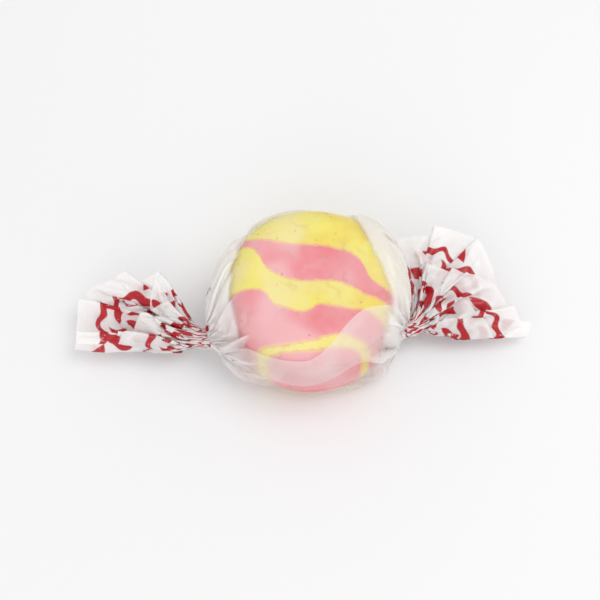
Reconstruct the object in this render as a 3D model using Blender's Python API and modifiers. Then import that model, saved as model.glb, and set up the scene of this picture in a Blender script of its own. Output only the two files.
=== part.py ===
"""Wrapped taffy: a thick disc of pulled candy in six bands, in waxed paper twisted shut at both ends.

Metres, +Z up. The origin is the middle of the flat underside. The twists lie along X.
The disc rests on one flat face, with its other face up. The bands run along X, and cross it
from +Y to -Y.
"""
import math
from dataclasses import dataclass

import bmesh
import bpy
import numpy as np

# The candy disc.
CANDY_RADIUS = 0.0129
CANDY_THICKNESS = 0.0164
CANDY_EDGE_RADIUS = 0.0046
CANDY_STEPS = 44
EDGE_STEPS = 5

# The hand-cut disc is not quite round: lobes, how deep each is as a share of the radius, and its heading.
CANDY_LOBES = ((2, 0.014, 80.0), (3, 0.010, 20.0), (4, 0.011, 48.0))

# The paper, with a wall thick enough for a solid, and the air between it and the candy.
PAPER_WALL = 0.0003
FIT_GAP = 0.0003
STRIPE_GAP = 0.0003

# The twists: where the middle of each one starts, its size, and how its pleats wind round it.
NECK_LEFT = (-0.0156, -0.0048, 0.0050)
NECK_RIGHT = (0.0144, -0.0030, 0.0050)
NECK_RADIUS = 0.0019
NECK_LENGTH = 0.0024
NECK_FLUTES = 6
NECK_FLUTE_DEPTH = 0.0002
NECK_WIND = math.radians(150.0)
SHOULDER_PLEAT_DEPTH = 0.0005
SHOULDER_PLEAT_REACH = 0.0055

# Where the paper stands off the candy's upper edge in a loose fold at either end: its side, where its foot
# crosses the middle line and how that slants, how wide and high it rises, and between which heights it does.
SHOULDERS = (
    (1, 0.0104, 0.41, 0.0016, 0.0013, 0.0065, 0.0110),
    (-1, 0.0118, 0.20, 0.0022, 0.0021, 0.0050, 0.0095),
)

# The tails keep a little air between their two layers, also along a fold.
TAIL_FOLD_RADIUS = 0.0007

# The tails' cut ends from the near side fold, at place -1, to the far one, at place 1. Each row has the
# place, the reach from the twist in millimetres, and the degrees that the pleats lift the lower and the
# upper layer there.
LEFT_RIM = (
    (-1.00, 12.0, 0.0, 0.0), (-0.83, 19.4, -6.0, 5.0), (-0.67, 19.5, -7.0, 7.0), (-0.50, 19.4, -5.0, 0.0),
    (-0.33, 19.9, -6.0, 1.0), (-0.17, 19.9, -5.5, 2.0), (0.00, 19.4, -5.0, -1.5), (0.17, 18.4, -4.5, 1.0),
    (0.33, 16.9, -4.5, 1.5), (0.50, 15.8, -1.5, 3.3), (0.67, 12.8, 0.3, 5.4), (0.83, 12.3, 3.2, 8.5),
    (1.00, 12.0, 6.5, 6.5),
)
RIGHT_RIM = (
    (-1.00, 14.0, -3.0, -3.0), (-0.83, 18.0, -4.5, 0.0), (-0.67, 16.3, -5.4, 5.0), (-0.50, 14.9, -9.0, 2.0),
    (-0.33, 14.8, -8.0, 7.0), (-0.17, 15.5, -5.5, 9.0), (0.00, 16.3, -3.0, 7.0), (0.17, 17.2, -6.5, 1.5),
    (0.33, 17.1, -5.0, -1.0), (0.50, 16.6, -3.5, 1.0), (0.67, 16.0, -4.6, 2.3), (0.83, 14.8, -6.5, 3.0),
    (1.00, 14.0, -2.4, -2.4),
)

# How finely the paper is divided.
PAPER_COLUMNS = 44
BODY_RINGS = 21
NECK_RINGS = 4
TAIL_REACHES = (0.10, 0.24, 0.42, 0.61, 0.81, 1.0)
PROFILE_SAMPLES = 241
BISECTIONS = 40

# The stripes' edges on the disc in millimetres (x, y), each from left to right.
STRIPE_EDGES_MM = (
    ((-13.8, 8.4), (-11.9, 7.9), (-9.3, 6.9), (-7.1, 6.3), (-2.8, 5.6), (1.5, 5.3), (3.9, 4.7), (6.3, 3.7),
     (7.5, 2.2), (8.7, -0.2), (10.4, -1.3), (13.8, -2.7)),
    ((-13.8, 6.3), (-9.6, 5.3), (-8.3, 3.8), (-7.2, 1.8), (-5.2, 0.4), (-1.8, -0.6), (1.5, -0.5),
     (3.9, -0.8), (6.3, -1.9), (7.8, -2.9), (10.1, -3.5), (13.8, -4.6)),
    ((-13.8, -1.8), (-11.0, -1.9), (-8.5, -2.0), (-7.1, -2.7), (-6.2, -4.0), (-3.8, -5.1), (-1.8, -5.6),
     (-0.2, -5.1), (0.8, -4.5), (2.7, -4.7), (5.1, -5.1), (8.6, -5.7), (10.9, -7.1), (13.8, -9.6)),
    ((-13.8, -9.8), (-9.0, -10.4), (-4.5, -10.6), (-0.5, -10.2), (2.0, -9.6), (4.0, -9.2), (6.5, -9.6),
     (13.8, -12.0)),
    ((-13.8, -11.6), (-9.0, -11.8), (-4.5, -11.6), (0.0, -11.5), (3.0, -11.0), (6.5, -10.9),
     (13.8, -13.0)),
)
STRIPE_NAMES = ("candy_yellow_1", "candy_pink_1", "candy_yellow_2", "candy_pink_2", "candy_yellow_3",
                "candy_pink_3")
STRIPE_SAMPLES = 3

YELLOW = (0.93, 0.78, 0.18, 1.0)
PINK = (0.90, 0.36, 0.42, 1.0)
WAXED_WHITE = (0.90, 0.88, 0.87, 1.0)
CANDY_ROUGHNESS = 0.45
PAPER_ROUGHNESS = 0.35

MILLIMETRE = 0.001
PAPER_OFFSET = FIT_GAP + PAPER_WALL
PAPER_THICKNESS = CANDY_THICKNESS + 2 * PAPER_OFFSET
PAPER_EDGE_RADIUS = CANDY_EDGE_RADIUS + PAPER_OFFSET
MIDDLE_HEIGHT = PAPER_THICKNESS / 2
WELD = 1e-6


@dataclass(frozen=True)
class Tail:
    """The open end of the paper past one twist: a flattened, pleated fan of two layers."""

    side: int
    neck: tuple
    heading: float
    rise: float
    roll: float
    spread: float
    rim: tuple

    def axes(self):
        """The fan's unit vectors: outwards, across towards +Y, and off its upper layer."""
        heading = math.radians(self.heading)
        rise = math.radians(self.rise)
        roll = math.radians(self.roll)
        out = np.array((self.side * math.cos(heading) * math.cos(rise), math.sin(heading) * math.cos(rise),
                        math.sin(rise)))
        level = np.cross((0.0, 0.0, 1.0), out) * self.side
        level /= np.linalg.norm(level)
        upward = np.cross(out, level) * self.side
        across = level * math.cos(roll) + upward * math.sin(roll)
        off = upward * math.cos(roll) - level * math.sin(roll)
        return out, across, off

    def root(self):
        """The middle of the twist's outer end."""
        out = self.axes()[0]
        start = np.array((self.side, 0.0, 0.0))
        return np.array(self.neck) + NECK_LENGTH * 0.5 * (start + out)


LEFT_TAIL = Tail(side=-1, neck=NECK_LEFT, heading=32.0, rise=4.3, roll=13.7, spread=73.0, rim=LEFT_RIM)
RIGHT_TAIL = Tail(side=1, neck=NECK_RIGHT, heading=42.7, rise=5.8, roll=13.0, spread=105.0, rim=RIGHT_RIM)


def clear_scene():
    """Remove every object that the file starts with."""
    for thing in list(bpy.data.objects):
        bpy.data.objects.remove(thing, do_unlink=True)


def new_collection(name):
    """Make a collection under the scene's own."""
    collection = bpy.data.collections.new(name)
    bpy.context.scene.collection.children.link(collection)
    return collection


def new_object(name, mesh, collection):
    """Put a mesh in an object of the same name."""
    mesh.name = name
    thing = bpy.data.objects.new(name, mesh)
    collection.objects.link(thing)
    return thing


def principled(name, colour, roughness):
    """A plain material with the part's colour."""
    material = bpy.data.materials.new(name)
    material.use_nodes = True
    shader = material.node_tree.nodes["Principled BSDF"]
    shader.inputs["Base Color"].default_value = colour
    shader.inputs["Roughness"].default_value = roughness
    shader.inputs["Metallic"].default_value = 0.0
    return material


def smooth_step(value):
    """Ease from 0 to 1 as the value does."""
    value = np.clip(value, 0.0, 1.0)
    return value * value * (3.0 - 2.0 * value)


def lobed(angle):
    """How far the disc's outline is from round at an angle in its plane, as a factor."""
    factor = 1.0
    for count, depth, heading in CANDY_LOBES:
        factor = factor + depth * np.cos(count * (angle - math.radians(heading)))
    return factor


def distance_to_disc(points):
    """Signed distance of points from the paper's outer face, where it lies on the disc."""
    reach = np.hypot(points[..., 0], points[..., 1])
    radius = CANDY_RADIUS * lobed(np.arctan2(points[..., 1], points[..., 0])) + PAPER_OFFSET
    beside = reach - (radius - PAPER_EDGE_RADIUS)
    above = np.abs(points[..., 2] - MIDDLE_HEIGHT) - (MIDDLE_HEIGHT - PAPER_EDGE_RADIUS)
    outside = np.hypot(np.maximum(beside, 0.0), np.maximum(above, 0.0))
    return outside + np.minimum(np.maximum(beside, above), 0.0) - PAPER_EDGE_RADIUS


def outward(points):
    """Unit vectors at points, straight off the disc's nearest face."""
    steps = 0.01 * MILLIMETRE * np.eye(3)
    slope = np.stack([distance_to_disc(points + step) - distance_to_disc(points - step) for step in steps], axis=-1)
    return slope / np.linalg.norm(slope, axis=-1, keepdims=True)


def stand_off(points):
    """How far the paper stands off the candy at points, in its loose folds."""
    total = np.zeros(points.shape[:-1])
    for side, foot, slant, width, height, low, high in SHOULDERS:
        inside = np.clip((side * points[..., 0] + slant * points[..., 1] - foot) / width, 0.0, 1.0)
        total = total + height * inside * smooth_step((points[..., 2] - low) / (high - low))
    return total


def axis_at(along):
    """Points on the line from neck to neck, by their x."""
    left = np.array(NECK_LEFT)
    right = np.array(NECK_RIGHT)
    share = (np.asarray(along) - left[0]) / (right[0] - left[0])
    return left + share[..., None] * (right - left)


def off_axis(along, angle, reach):
    """Points at a reach from the neck line, at an angle from +Y up towards +Z."""
    across = np.stack((np.zeros_like(reach), reach * np.cos(angle), reach * np.sin(angle)), axis=-1)
    return axis_at(along) + across


def reach_of_disc(along, angle):
    """How far the disc's paper is from the neck line at each x, or 0 past its ends."""
    near = np.zeros_like(along)
    far = np.full_like(along, 2 * CANDY_RADIUS + PAPER_THICKNESS)
    for _ in range(BISECTIONS):
        middle = (near + far) / 2
        inside = distance_to_disc(off_axis(along, angle, middle)) < 0.0
        near = np.where(inside, middle, near)
        far = np.where(inside, far, middle)
    return near


def taut_reach(along, angle):
    """How far the paper is from the neck line: on the disc, or straight from it to a neck."""
    samples = np.linspace(NECK_LEFT[0], NECK_RIGHT[0], PROFILE_SAMPLES)
    profile = reach_of_disc(samples, angle)
    reach = reach_of_disc(along, angle)
    for end, side in ((NECK_LEFT[0], -1), (NECK_RIGHT[0], 1)):
        gone = np.maximum(side * (end - samples), WELD)
        slope = np.where(gone > NECK_RADIUS / 2, (profile - NECK_RADIUS) / gone, -np.inf)
        touch = int(np.argmax(slope))
        straight = NECK_RADIUS + slope[touch] * side * (end - along)
        past = side * (along - samples[touch]) > 0.0
        reach = np.where(past, straight, reach)
    return reach


def flutes(angles, wound):
    """The pleats round a twist, from -1 to 1, wound round it by an angle."""
    return np.cos(NECK_FLUTES * (angles - wound))


def body_rings(angles):
    """The paper round the candy, from the left neck to the right one."""
    middle = (NECK_LEFT[0] + NECK_RIGHT[0]) / 2
    half = (NECK_RIGHT[0] - NECK_LEFT[0]) / 2
    steps = np.linspace(-math.pi / 2, math.pi / 2, BODY_RINGS)
    along = middle + half * np.sin(steps * 0.98) / math.sin(math.pi / 2 * 0.98)
    reaches = np.stack([taut_reach(along, angle) for angle in angles], axis=1)
    rings = []
    for row, place in enumerate(along):
        gap = min(place - NECK_LEFT[0], NECK_RIGHT[0] - place)
        near_neck = 1.0 - float(smooth_step(gap / SHOULDER_PLEAT_REACH))
        at_neck = 1.0 - float(smooth_step(gap / (SHOULDER_PLEAT_REACH / 3)))
        depth = NECK_FLUTE_DEPTH * at_neck + SHOULDER_PLEAT_DEPTH * near_neck * (1.0 - at_neck)
        reach = reaches[row] + depth * flutes(angles, 0.0)
        ring = off_axis(np.full_like(angles, place), angles, reach)
        rings.append(ring + stand_off(ring)[:, None] * outward(ring))
    return rings


def neck_rings(tail, angles):
    """The twist itself, from the body's end outwards, without the ring that the body ends with."""
    out, across, off = tail.axes()
    start = np.array(tail.neck)
    bend = start + np.array((tail.side * NECK_LENGTH / 2, 0.0, 0.0))
    rings = []
    for step in range(1, NECK_RINGS + 1):
        share = step / NECK_RINGS
        centre = (1 - share) ** 2 * start + 2 * share * (1 - share) * bend + share ** 2 * tail.root()
        sideways = (1 - share) * np.array((0.0, 1.0, 0.0)) + share * across
        upwards = (1 - share) * np.array((0.0, 0.0, 1.0)) + share * off
        reach = NECK_RADIUS + NECK_FLUTE_DEPTH * flutes(angles, tail.side * share * NECK_WIND)
        ring = np.outer(reach * np.cos(angles), sideways) + np.outer(reach * np.sin(angles), upwards)
        rings.append(centre + ring)
    return rings


def tail_rings(tail, angles):
    """The fan past a twist, from the twist outwards."""
    out, across, off = tail.axes()
    turned = angles / math.pi
    place = np.where(turned <= 1.0, 1.0 - 2.0 * turned, 2.0 * turned - 3.0)
    swing = math.radians(tail.spread / 2) * place
    places, lengths, lower, upper = np.array(tail.rim).T
    length = MILLIMETRE * np.interp(place, places, lengths)
    pleat = np.radians(np.where(turned <= 1.0, np.interp(place, places, upper), np.interp(place, places, lower)))
    rings = []
    for reach in TAIL_REACHES:
        opened = float(smooth_step(reach / 0.45))
        fold = NECK_RADIUS + (TAIL_FOLD_RADIUS - NECK_RADIUS) * opened
        fold = fold + NECK_FLUTE_DEPTH * (1.0 - opened) * flutes(angles, tail.side * NECK_WIND)
        lift = opened * pleat
        level = np.outer(np.cos(swing), out) + np.outer(np.sin(swing), across)
        fan = np.cos(lift)[:, None] * level + np.sin(lift)[:, None] * off
        distance = length * reach
        tube = np.outer(fold * np.cos(angles), across) + np.outer(fold * np.sin(angles), off)
        rings.append(tail.root() + tube + distance[:, None] * fan)
    return rings


def build_paper(collection, material):
    """The waxed paper: one open tube of paper with a thin wall."""
    angles = np.linspace(0.0, 2 * math.pi, PAPER_COLUMNS + 1)
    left = neck_rings(LEFT_TAIL, angles) + tail_rings(LEFT_TAIL, angles)
    right = neck_rings(RIGHT_TAIL, angles) + tail_rings(RIGHT_TAIL, angles)
    rings = left[::-1] + body_rings(angles) + right
    grid = bmesh.new()
    bmesh.ops.create_grid(grid, x_segments=PAPER_COLUMNS, y_segments=len(rings) - 1, size=1.0)
    for vertex in grid.verts:
        column = round((vertex.co.x + 1.0) / 2.0 * PAPER_COLUMNS)
        row = round((vertex.co.y + 1.0) / 2.0 * (len(rings) - 1))
        place = rings[row][column]
        height = 0.0 if abs(place[2]) < WELD else place[2]
        vertex.co = (place[0], place[1], height)
    bmesh.ops.remove_doubles(grid, verts=grid.verts, dist=WELD)
    grid.normal_update()
    top = max(grid.faces, key=lambda face: face.calc_center_median().z)
    if top.normal.z < 0.0:
        bmesh.ops.reverse_faces(grid, faces=grid.faces)
    mesh = bpy.data.meshes.new("wrapper")
    grid.to_mesh(mesh)
    grid.free()
    mesh.shade_smooth()
    paper = new_object("wrapper", mesh, collection)
    paper.data.materials.append(material)
    wall = paper.modifiers.new("paper wall", "SOLIDIFY")
    wall.thickness = PAPER_WALL
    wall.offset = -1.0
    return paper


def disc_profile():
    """The disc's outer side as (radius, height) points, from its top middle to its bottom middle."""
    top = PAPER_THICKNESS - PAPER_OFFSET
    bottom = PAPER_OFFSET
    inner = CANDY_RADIUS - CANDY_EDGE_RADIUS
    points = [(0.0, top)]
    for step in range(EDGE_STEPS + 1):
        turn = math.pi / 2 * (1.0 - step / EDGE_STEPS)
        points.append((inner + CANDY_EDGE_RADIUS * math.cos(turn),
                       top - CANDY_EDGE_RADIUS + CANDY_EDGE_RADIUS * math.sin(turn)))
    for step in range(EDGE_STEPS + 1):
        turn = -math.pi / 2 * step / EDGE_STEPS
        points.append((inner + CANDY_EDGE_RADIUS * math.cos(turn),
                       bottom + CANDY_EDGE_RADIUS + CANDY_EDGE_RADIUS * math.sin(turn)))
    points.append((0.0, bottom))
    return points


def build_disc(collection):
    """The whole disc, turned and then made a little out of round, for the bands to be cut from."""
    points = disc_profile()
    mesh = bpy.data.meshes.new("disc profile")
    mesh.from_pydata([(radius, 0.0, height) for radius, height in points],
                     [(step, step + 1) for step in range(len(points) - 1)], [])
    turned = new_object("disc profile", mesh, collection)
    screw = turned.modifiers.new("turn", "SCREW")
    screw.steps = CANDY_STEPS
    screw.render_steps = CANDY_STEPS
    screw.use_merge_vertices = True
    screw.merge_threshold = WELD
    evaluated = turned.evaluated_get(bpy.context.evaluated_depsgraph_get())
    whole = bpy.data.meshes.new_from_object(evaluated)
    bpy.data.objects.remove(turned, do_unlink=True)
    for vertex in whole.vertices:
        factor = float(lobed(math.atan2(vertex.co.y, vertex.co.x)))
        vertex.co.x *= factor
        vertex.co.y *= factor
    return whole


def smooth_line(points):
    """A curve through the points, by Catmull and Rom's rule, as an array of (x, y)."""
    ends = [2 * points[0] - points[1], *points, 2 * points[-1] - points[-2]]
    line = []
    for first, second, third, fourth in zip(ends, ends[1:], ends[2:], ends[3:]):
        for step in range(STRIPE_SAMPLES):
            share = step / STRIPE_SAMPLES
            line.append(0.5 * (2 * second + (third - first) * share
                               + (2 * first - 5 * second + 4 * third - fourth) * share ** 2
                               + (3 * second - first - 3 * third + fourth) * share ** 3))
    line.append(points[-1])
    return np.array(line)


def moved_sideways(line, distance):
    """The line moved to its left by a distance."""
    along = np.gradient(line, axis=0)
    along /= np.linalg.norm(along, axis=1)[:, None]
    return line + distance * np.stack((-along[:, 1], along[:, 0]), axis=1)


def band_cutter(name, upper, lower, collection):
    """A tall prism over one band's outline, which the disc is intersected with."""
    outline = np.concatenate((upper, lower[::-1]))
    curve = bpy.data.curves.new(name, "CURVE")
    curve.dimensions = "2D"
    curve.fill_mode = "BOTH"
    curve.extrude = PAPER_THICKNESS / 2
    spline = curve.splines.new("POLY")
    spline.points.add(len(outline) - 1)
    for point, (across, deep) in zip(spline.points, outline):
        point.co = (across, deep, 0.0, 1.0)
    spline.use_cyclic_u = True
    flat = bpy.data.objects.new(name, curve)
    collection.objects.link(flat)
    flat.location.z = MIDDLE_HEIGHT
    bpy.context.view_layer.update()
    mesh = bpy.data.meshes.new_from_object(flat.evaluated_get(bpy.context.evaluated_depsgraph_get()))
    prism = bmesh.new()
    prism.from_mesh(mesh)
    bmesh.ops.remove_doubles(prism, verts=prism.verts, dist=WELD)
    bmesh.ops.recalc_face_normals(prism, faces=prism.faces)
    prism.to_mesh(mesh)
    prism.free()
    place = flat.matrix_world.copy()
    bpy.data.objects.remove(flat, do_unlink=True)
    cutter = new_object(name, mesh, collection)
    cutter.matrix_world = place
    cutter.hide_render = True
    cutter.display_type = "WIRE"
    return cutter


def build_bands(collection, cutters, materials):
    """The candy's bands, each a slice of the disc that runs through its thickness."""
    edges = [smooth_line(np.array(edge) * MILLIMETRE) for edge in STRIPE_EDGES_MM]
    beyond = 1.3 * CANDY_RADIUS
    top = np.array(((-beyond, beyond), (beyond, beyond)))
    bottom = np.array(((-beyond, -beyond), (beyond, -beyond)))
    uppers = [top] + [moved_sideways(edge, -STRIPE_GAP / 2) for edge in edges]
    lowers = [moved_sideways(edge, STRIPE_GAP / 2) for edge in edges] + [bottom]
    whole = build_disc(cutters)
    for name, upper, lower in zip(STRIPE_NAMES, uppers, lowers):
        cutter = band_cutter("cut_" + name, upper, lower, cutters)
        band = new_object(name, whole.copy(), collection)
        band.data.materials.append(materials[name.split("_")[1]])
        band.data.shade_smooth()
        band.data.set_sharp_from_angle(angle=math.radians(30.0))
        cut = band.modifiers.new("band", "BOOLEAN")
        cut.operation = "INTERSECT"
        cut.solver = "EXACT"
        cut.object = cutter
    bpy.data.meshes.remove(whole)


def main():
    """Build the wrapped taffy."""
    clear_scene()
    taffy = new_collection("taffy")
    cutters = new_collection("cutters")
    candy = {
        "yellow": principled("candy_yellow", YELLOW, CANDY_ROUGHNESS),
        "pink": principled("candy_pink", PINK, CANDY_ROUGHNESS),
    }
    build_bands(taffy, cutters, candy)
    build_paper(taffy, principled("wrapper", WAXED_WHITE, PAPER_ROUGHNESS))


main()
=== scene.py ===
"""The looks of one wrapped taffy: striped pulled candy under milky waxed paper, twisted shut at both ends.

The paper is one flat sheet. It is laid round the candy, gathered into the two twists and then settled,
point by point, so that its edges keep the length they were cut to and the spare paper folds and creases.
Sizes are in metres and angles in degrees, unless a docstring says otherwise.
"""
import logging
import math
from dataclasses import dataclass, field
from enum import Enum

import bmesh
import bpy
import numpy as np
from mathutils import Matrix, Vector


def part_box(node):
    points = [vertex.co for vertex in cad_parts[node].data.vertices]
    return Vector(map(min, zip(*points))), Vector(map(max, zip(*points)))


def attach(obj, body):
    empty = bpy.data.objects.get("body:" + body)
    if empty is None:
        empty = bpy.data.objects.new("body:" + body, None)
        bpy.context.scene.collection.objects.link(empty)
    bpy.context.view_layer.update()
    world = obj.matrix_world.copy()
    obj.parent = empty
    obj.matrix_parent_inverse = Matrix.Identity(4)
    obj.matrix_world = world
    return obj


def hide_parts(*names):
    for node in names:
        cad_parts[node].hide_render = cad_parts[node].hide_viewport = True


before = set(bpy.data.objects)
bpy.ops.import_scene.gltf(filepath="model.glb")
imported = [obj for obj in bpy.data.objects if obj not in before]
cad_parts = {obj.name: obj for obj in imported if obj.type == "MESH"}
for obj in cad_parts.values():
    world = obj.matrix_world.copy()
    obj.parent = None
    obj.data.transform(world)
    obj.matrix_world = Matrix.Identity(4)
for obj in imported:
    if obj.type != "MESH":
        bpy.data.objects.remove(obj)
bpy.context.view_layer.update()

Place = tuple[float, float, float]
Colour = tuple[float, float, float]
Paint = Colour | bpy.types.NodeSocket
Range = tuple[float, float]
Slices = tuple[slice, slice]
Edge = tuple[tuple[float, float], ...]

LOG = logging.getLogger("taffy")
BODY = "root"
MM = 0.001
WELD = 1e-6
TINY = 1e-12
FULL_TURN = 2 * math.pi
RIPPLE_WAVES = 9
RIPPLE_SPREAD: Range = (0.6, 1.6)
RIPPLE_HEIGHT = 1.6


class Flavour(Enum):
    """The two colours of pulled candy, by the name of the record's material slot."""

    YELLOW = "candy_yellow"
    PINK = "candy_pink"


class End(Enum):
    """The two twisted ends of the paper, by the sign of their x."""

    LEFT = -1
    RIGHT = 1


def smooth_step(value: np.ndarray | float, low: float, high: float) -> np.ndarray:
    """Ease from 0 to 1 as the value goes from low to high.

    Args:
        value: Any array or number.
        low: Where the ease starts.
        high: Where the ease ends.

    Returns:
        The eased values.
    """
    share = np.clip((value - low) / (high - low), 0.0, 1.0)
    return share * share * (3.0 - 2.0 * share)


def mesh_from(work: bmesh.types.BMesh, name: str) -> bpy.types.Mesh:
    """Turn a finished bmesh into a mesh and free it.

    Args:
        work: The bmesh.
        name: The mesh's name.

    Returns:
        The mesh.
    """
    mesh = bpy.data.meshes.new(name)
    work.to_mesh(mesh)
    work.free()
    return mesh


def placed(name: str, data: bpy.types.ID) -> bpy.types.Object:
    """Put a mesh, a camera or a lamp into the scene.

    Args:
        name: The object's name.
        data: What the object shows.

    Returns:
        The object, at the origin.
    """
    made = bpy.data.objects.new(name, data)
    bpy.context.scene.collection.objects.link(made)
    return made


class Ripple:
    """A smooth uneven field in space, made of seeded plane waves, about -1 to 1."""

    def __init__(self, seed: int, wavelength: float) -> None:
        """Draw the waves.

        Args:
            seed: Seed of the draw.
            wavelength: Mean length of the waves, in the unit of the points.
        """
        draw = np.random.default_rng(seed)
        heading = draw.normal(size=(RIPPLE_WAVES, 3))
        heading /= np.linalg.norm(heading, axis=1)[:, None]
        rates = FULL_TURN / wavelength * draw.uniform(*RIPPLE_SPREAD, RIPPLE_WAVES)
        self.waves = heading * rates[:, None]
        self.phases = draw.uniform(0.0, FULL_TURN, RIPPLE_WAVES)
        self.share = RIPPLE_HEIGHT / RIPPLE_WAVES

    def at(self, points: np.ndarray) -> np.ndarray:
        """Return the field's value at each point."""
        return self.share * np.sin(points @ self.waves.T + self.phases).sum(axis=-1)


@dataclass(frozen=True)
class CandyDisc:
    """The thick disc of candy that the paper lies on, grown to close the gaps that its solids keep."""

    radius: float = 0.0129
    edge_radius: float = 0.0046
    grown: float = 0.00045
    lobes: tuple[tuple[int, float, float], ...] = ((2, 0.014, 80.0), (3, 0.010, 20.0), (4, 0.011, 48.0))
    relief: float = 0.00024
    relief_length: float = 0.0062
    relief_mean: float = 0.5
    relief_swell: float = 0.45
    relief_grain: float = 0.12

    @property
    def bottom(self) -> float:
        """Height of the lower face."""
        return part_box("candy_pink_2")[0].z - self.grown

    @property
    def top(self) -> float:
        """Height of the upper face."""
        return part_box("candy_pink_2")[1].z + self.grown

    def lobed_radius(self, angle: np.ndarray) -> np.ndarray:
        """Return the disc's reach at an angle in its plane.

        Args:
            angle: Angles in the plane of the disc, in radians.

        Returns:
            The distance from the middle to the wall at each angle.
        """
        factor = 1.0
        for count, depth, heading in self.lobes:
            factor = factor + depth * np.cos(count * (angle - math.radians(heading)))
        return self.radius * factor + self.grown

    def outward(self, points: np.ndarray,
                offset: float | np.ndarray = 0.0) -> tuple[np.ndarray, np.ndarray]:
        """Measure points against the disc's smooth outside.

        Args:
            points: Array of positions, x, y, z last.
            offset: How much larger the disc is taken to be.

        Returns:
            The signed distances, and the unit vectors that lead straight out of the disc.
        """
        middle = (self.top + self.bottom) / 2
        half = (self.top - self.bottom) / 2
        rounding = self.edge_radius + self.grown
        reach = np.hypot(points[..., 0], points[..., 1]) + TINY
        radius = self.lobed_radius(np.arctan2(points[..., 1], points[..., 0]))
        beside = reach - (radius - rounding)
        above = np.abs(points[..., 2] - middle) - (half - rounding)
        out_beside = np.maximum(beside, 0.0)
        out_above = np.maximum(above, 0.0)
        outside = np.hypot(out_beside, out_above)
        distance = outside + np.minimum(np.maximum(beside, above), 0.0) - rounding - offset
        inner = outside <= 0.0
        flat = np.where(inner, (beside > above).astype(float), out_beside / np.maximum(outside, TINY))
        tall = np.where(inner, (beside <= above).astype(float), out_above / np.maximum(outside, TINY))
        lift = np.sign(points[..., 2] - middle) * tall
        level = points[..., :2] / reach[..., None] * flat[..., None]
        return distance, np.concatenate((level, lift[..., None]), axis=-1)

    def sunk(self, points: np.ndarray) -> np.ndarray:
        """Return how far the candy's real surface lies under its smooth outside at each point.

        Args:
            points: Points on the smooth outside.

        Returns:
            The depth at each point.
        """
        ripple = Ripple(seed=11, wavelength=self.relief_length).at(points)
        fine = Ripple(seed=12, wavelength=self.relief_length / 3).at(points)
        share = self.relief_mean + self.relief_swell * ripple + self.relief_grain * fine
        return self.relief * np.clip(share, 0.0, 1.0)


TWIST_FOLDS = ((3, 1.0), (5, 1.2), (8, 1.1), (13, 0.6))
TWIST_FOLD_SPAN = 8.0
PLEAT_WAVES = ((0.10, 2.1), (0.05, 4.7))
PLEAT_SHIFTS: Range = (0.0, 6.0)
STRIPS = 40
FACETS_ALONG = 20
FACET_SLANT = 0.8


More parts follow.
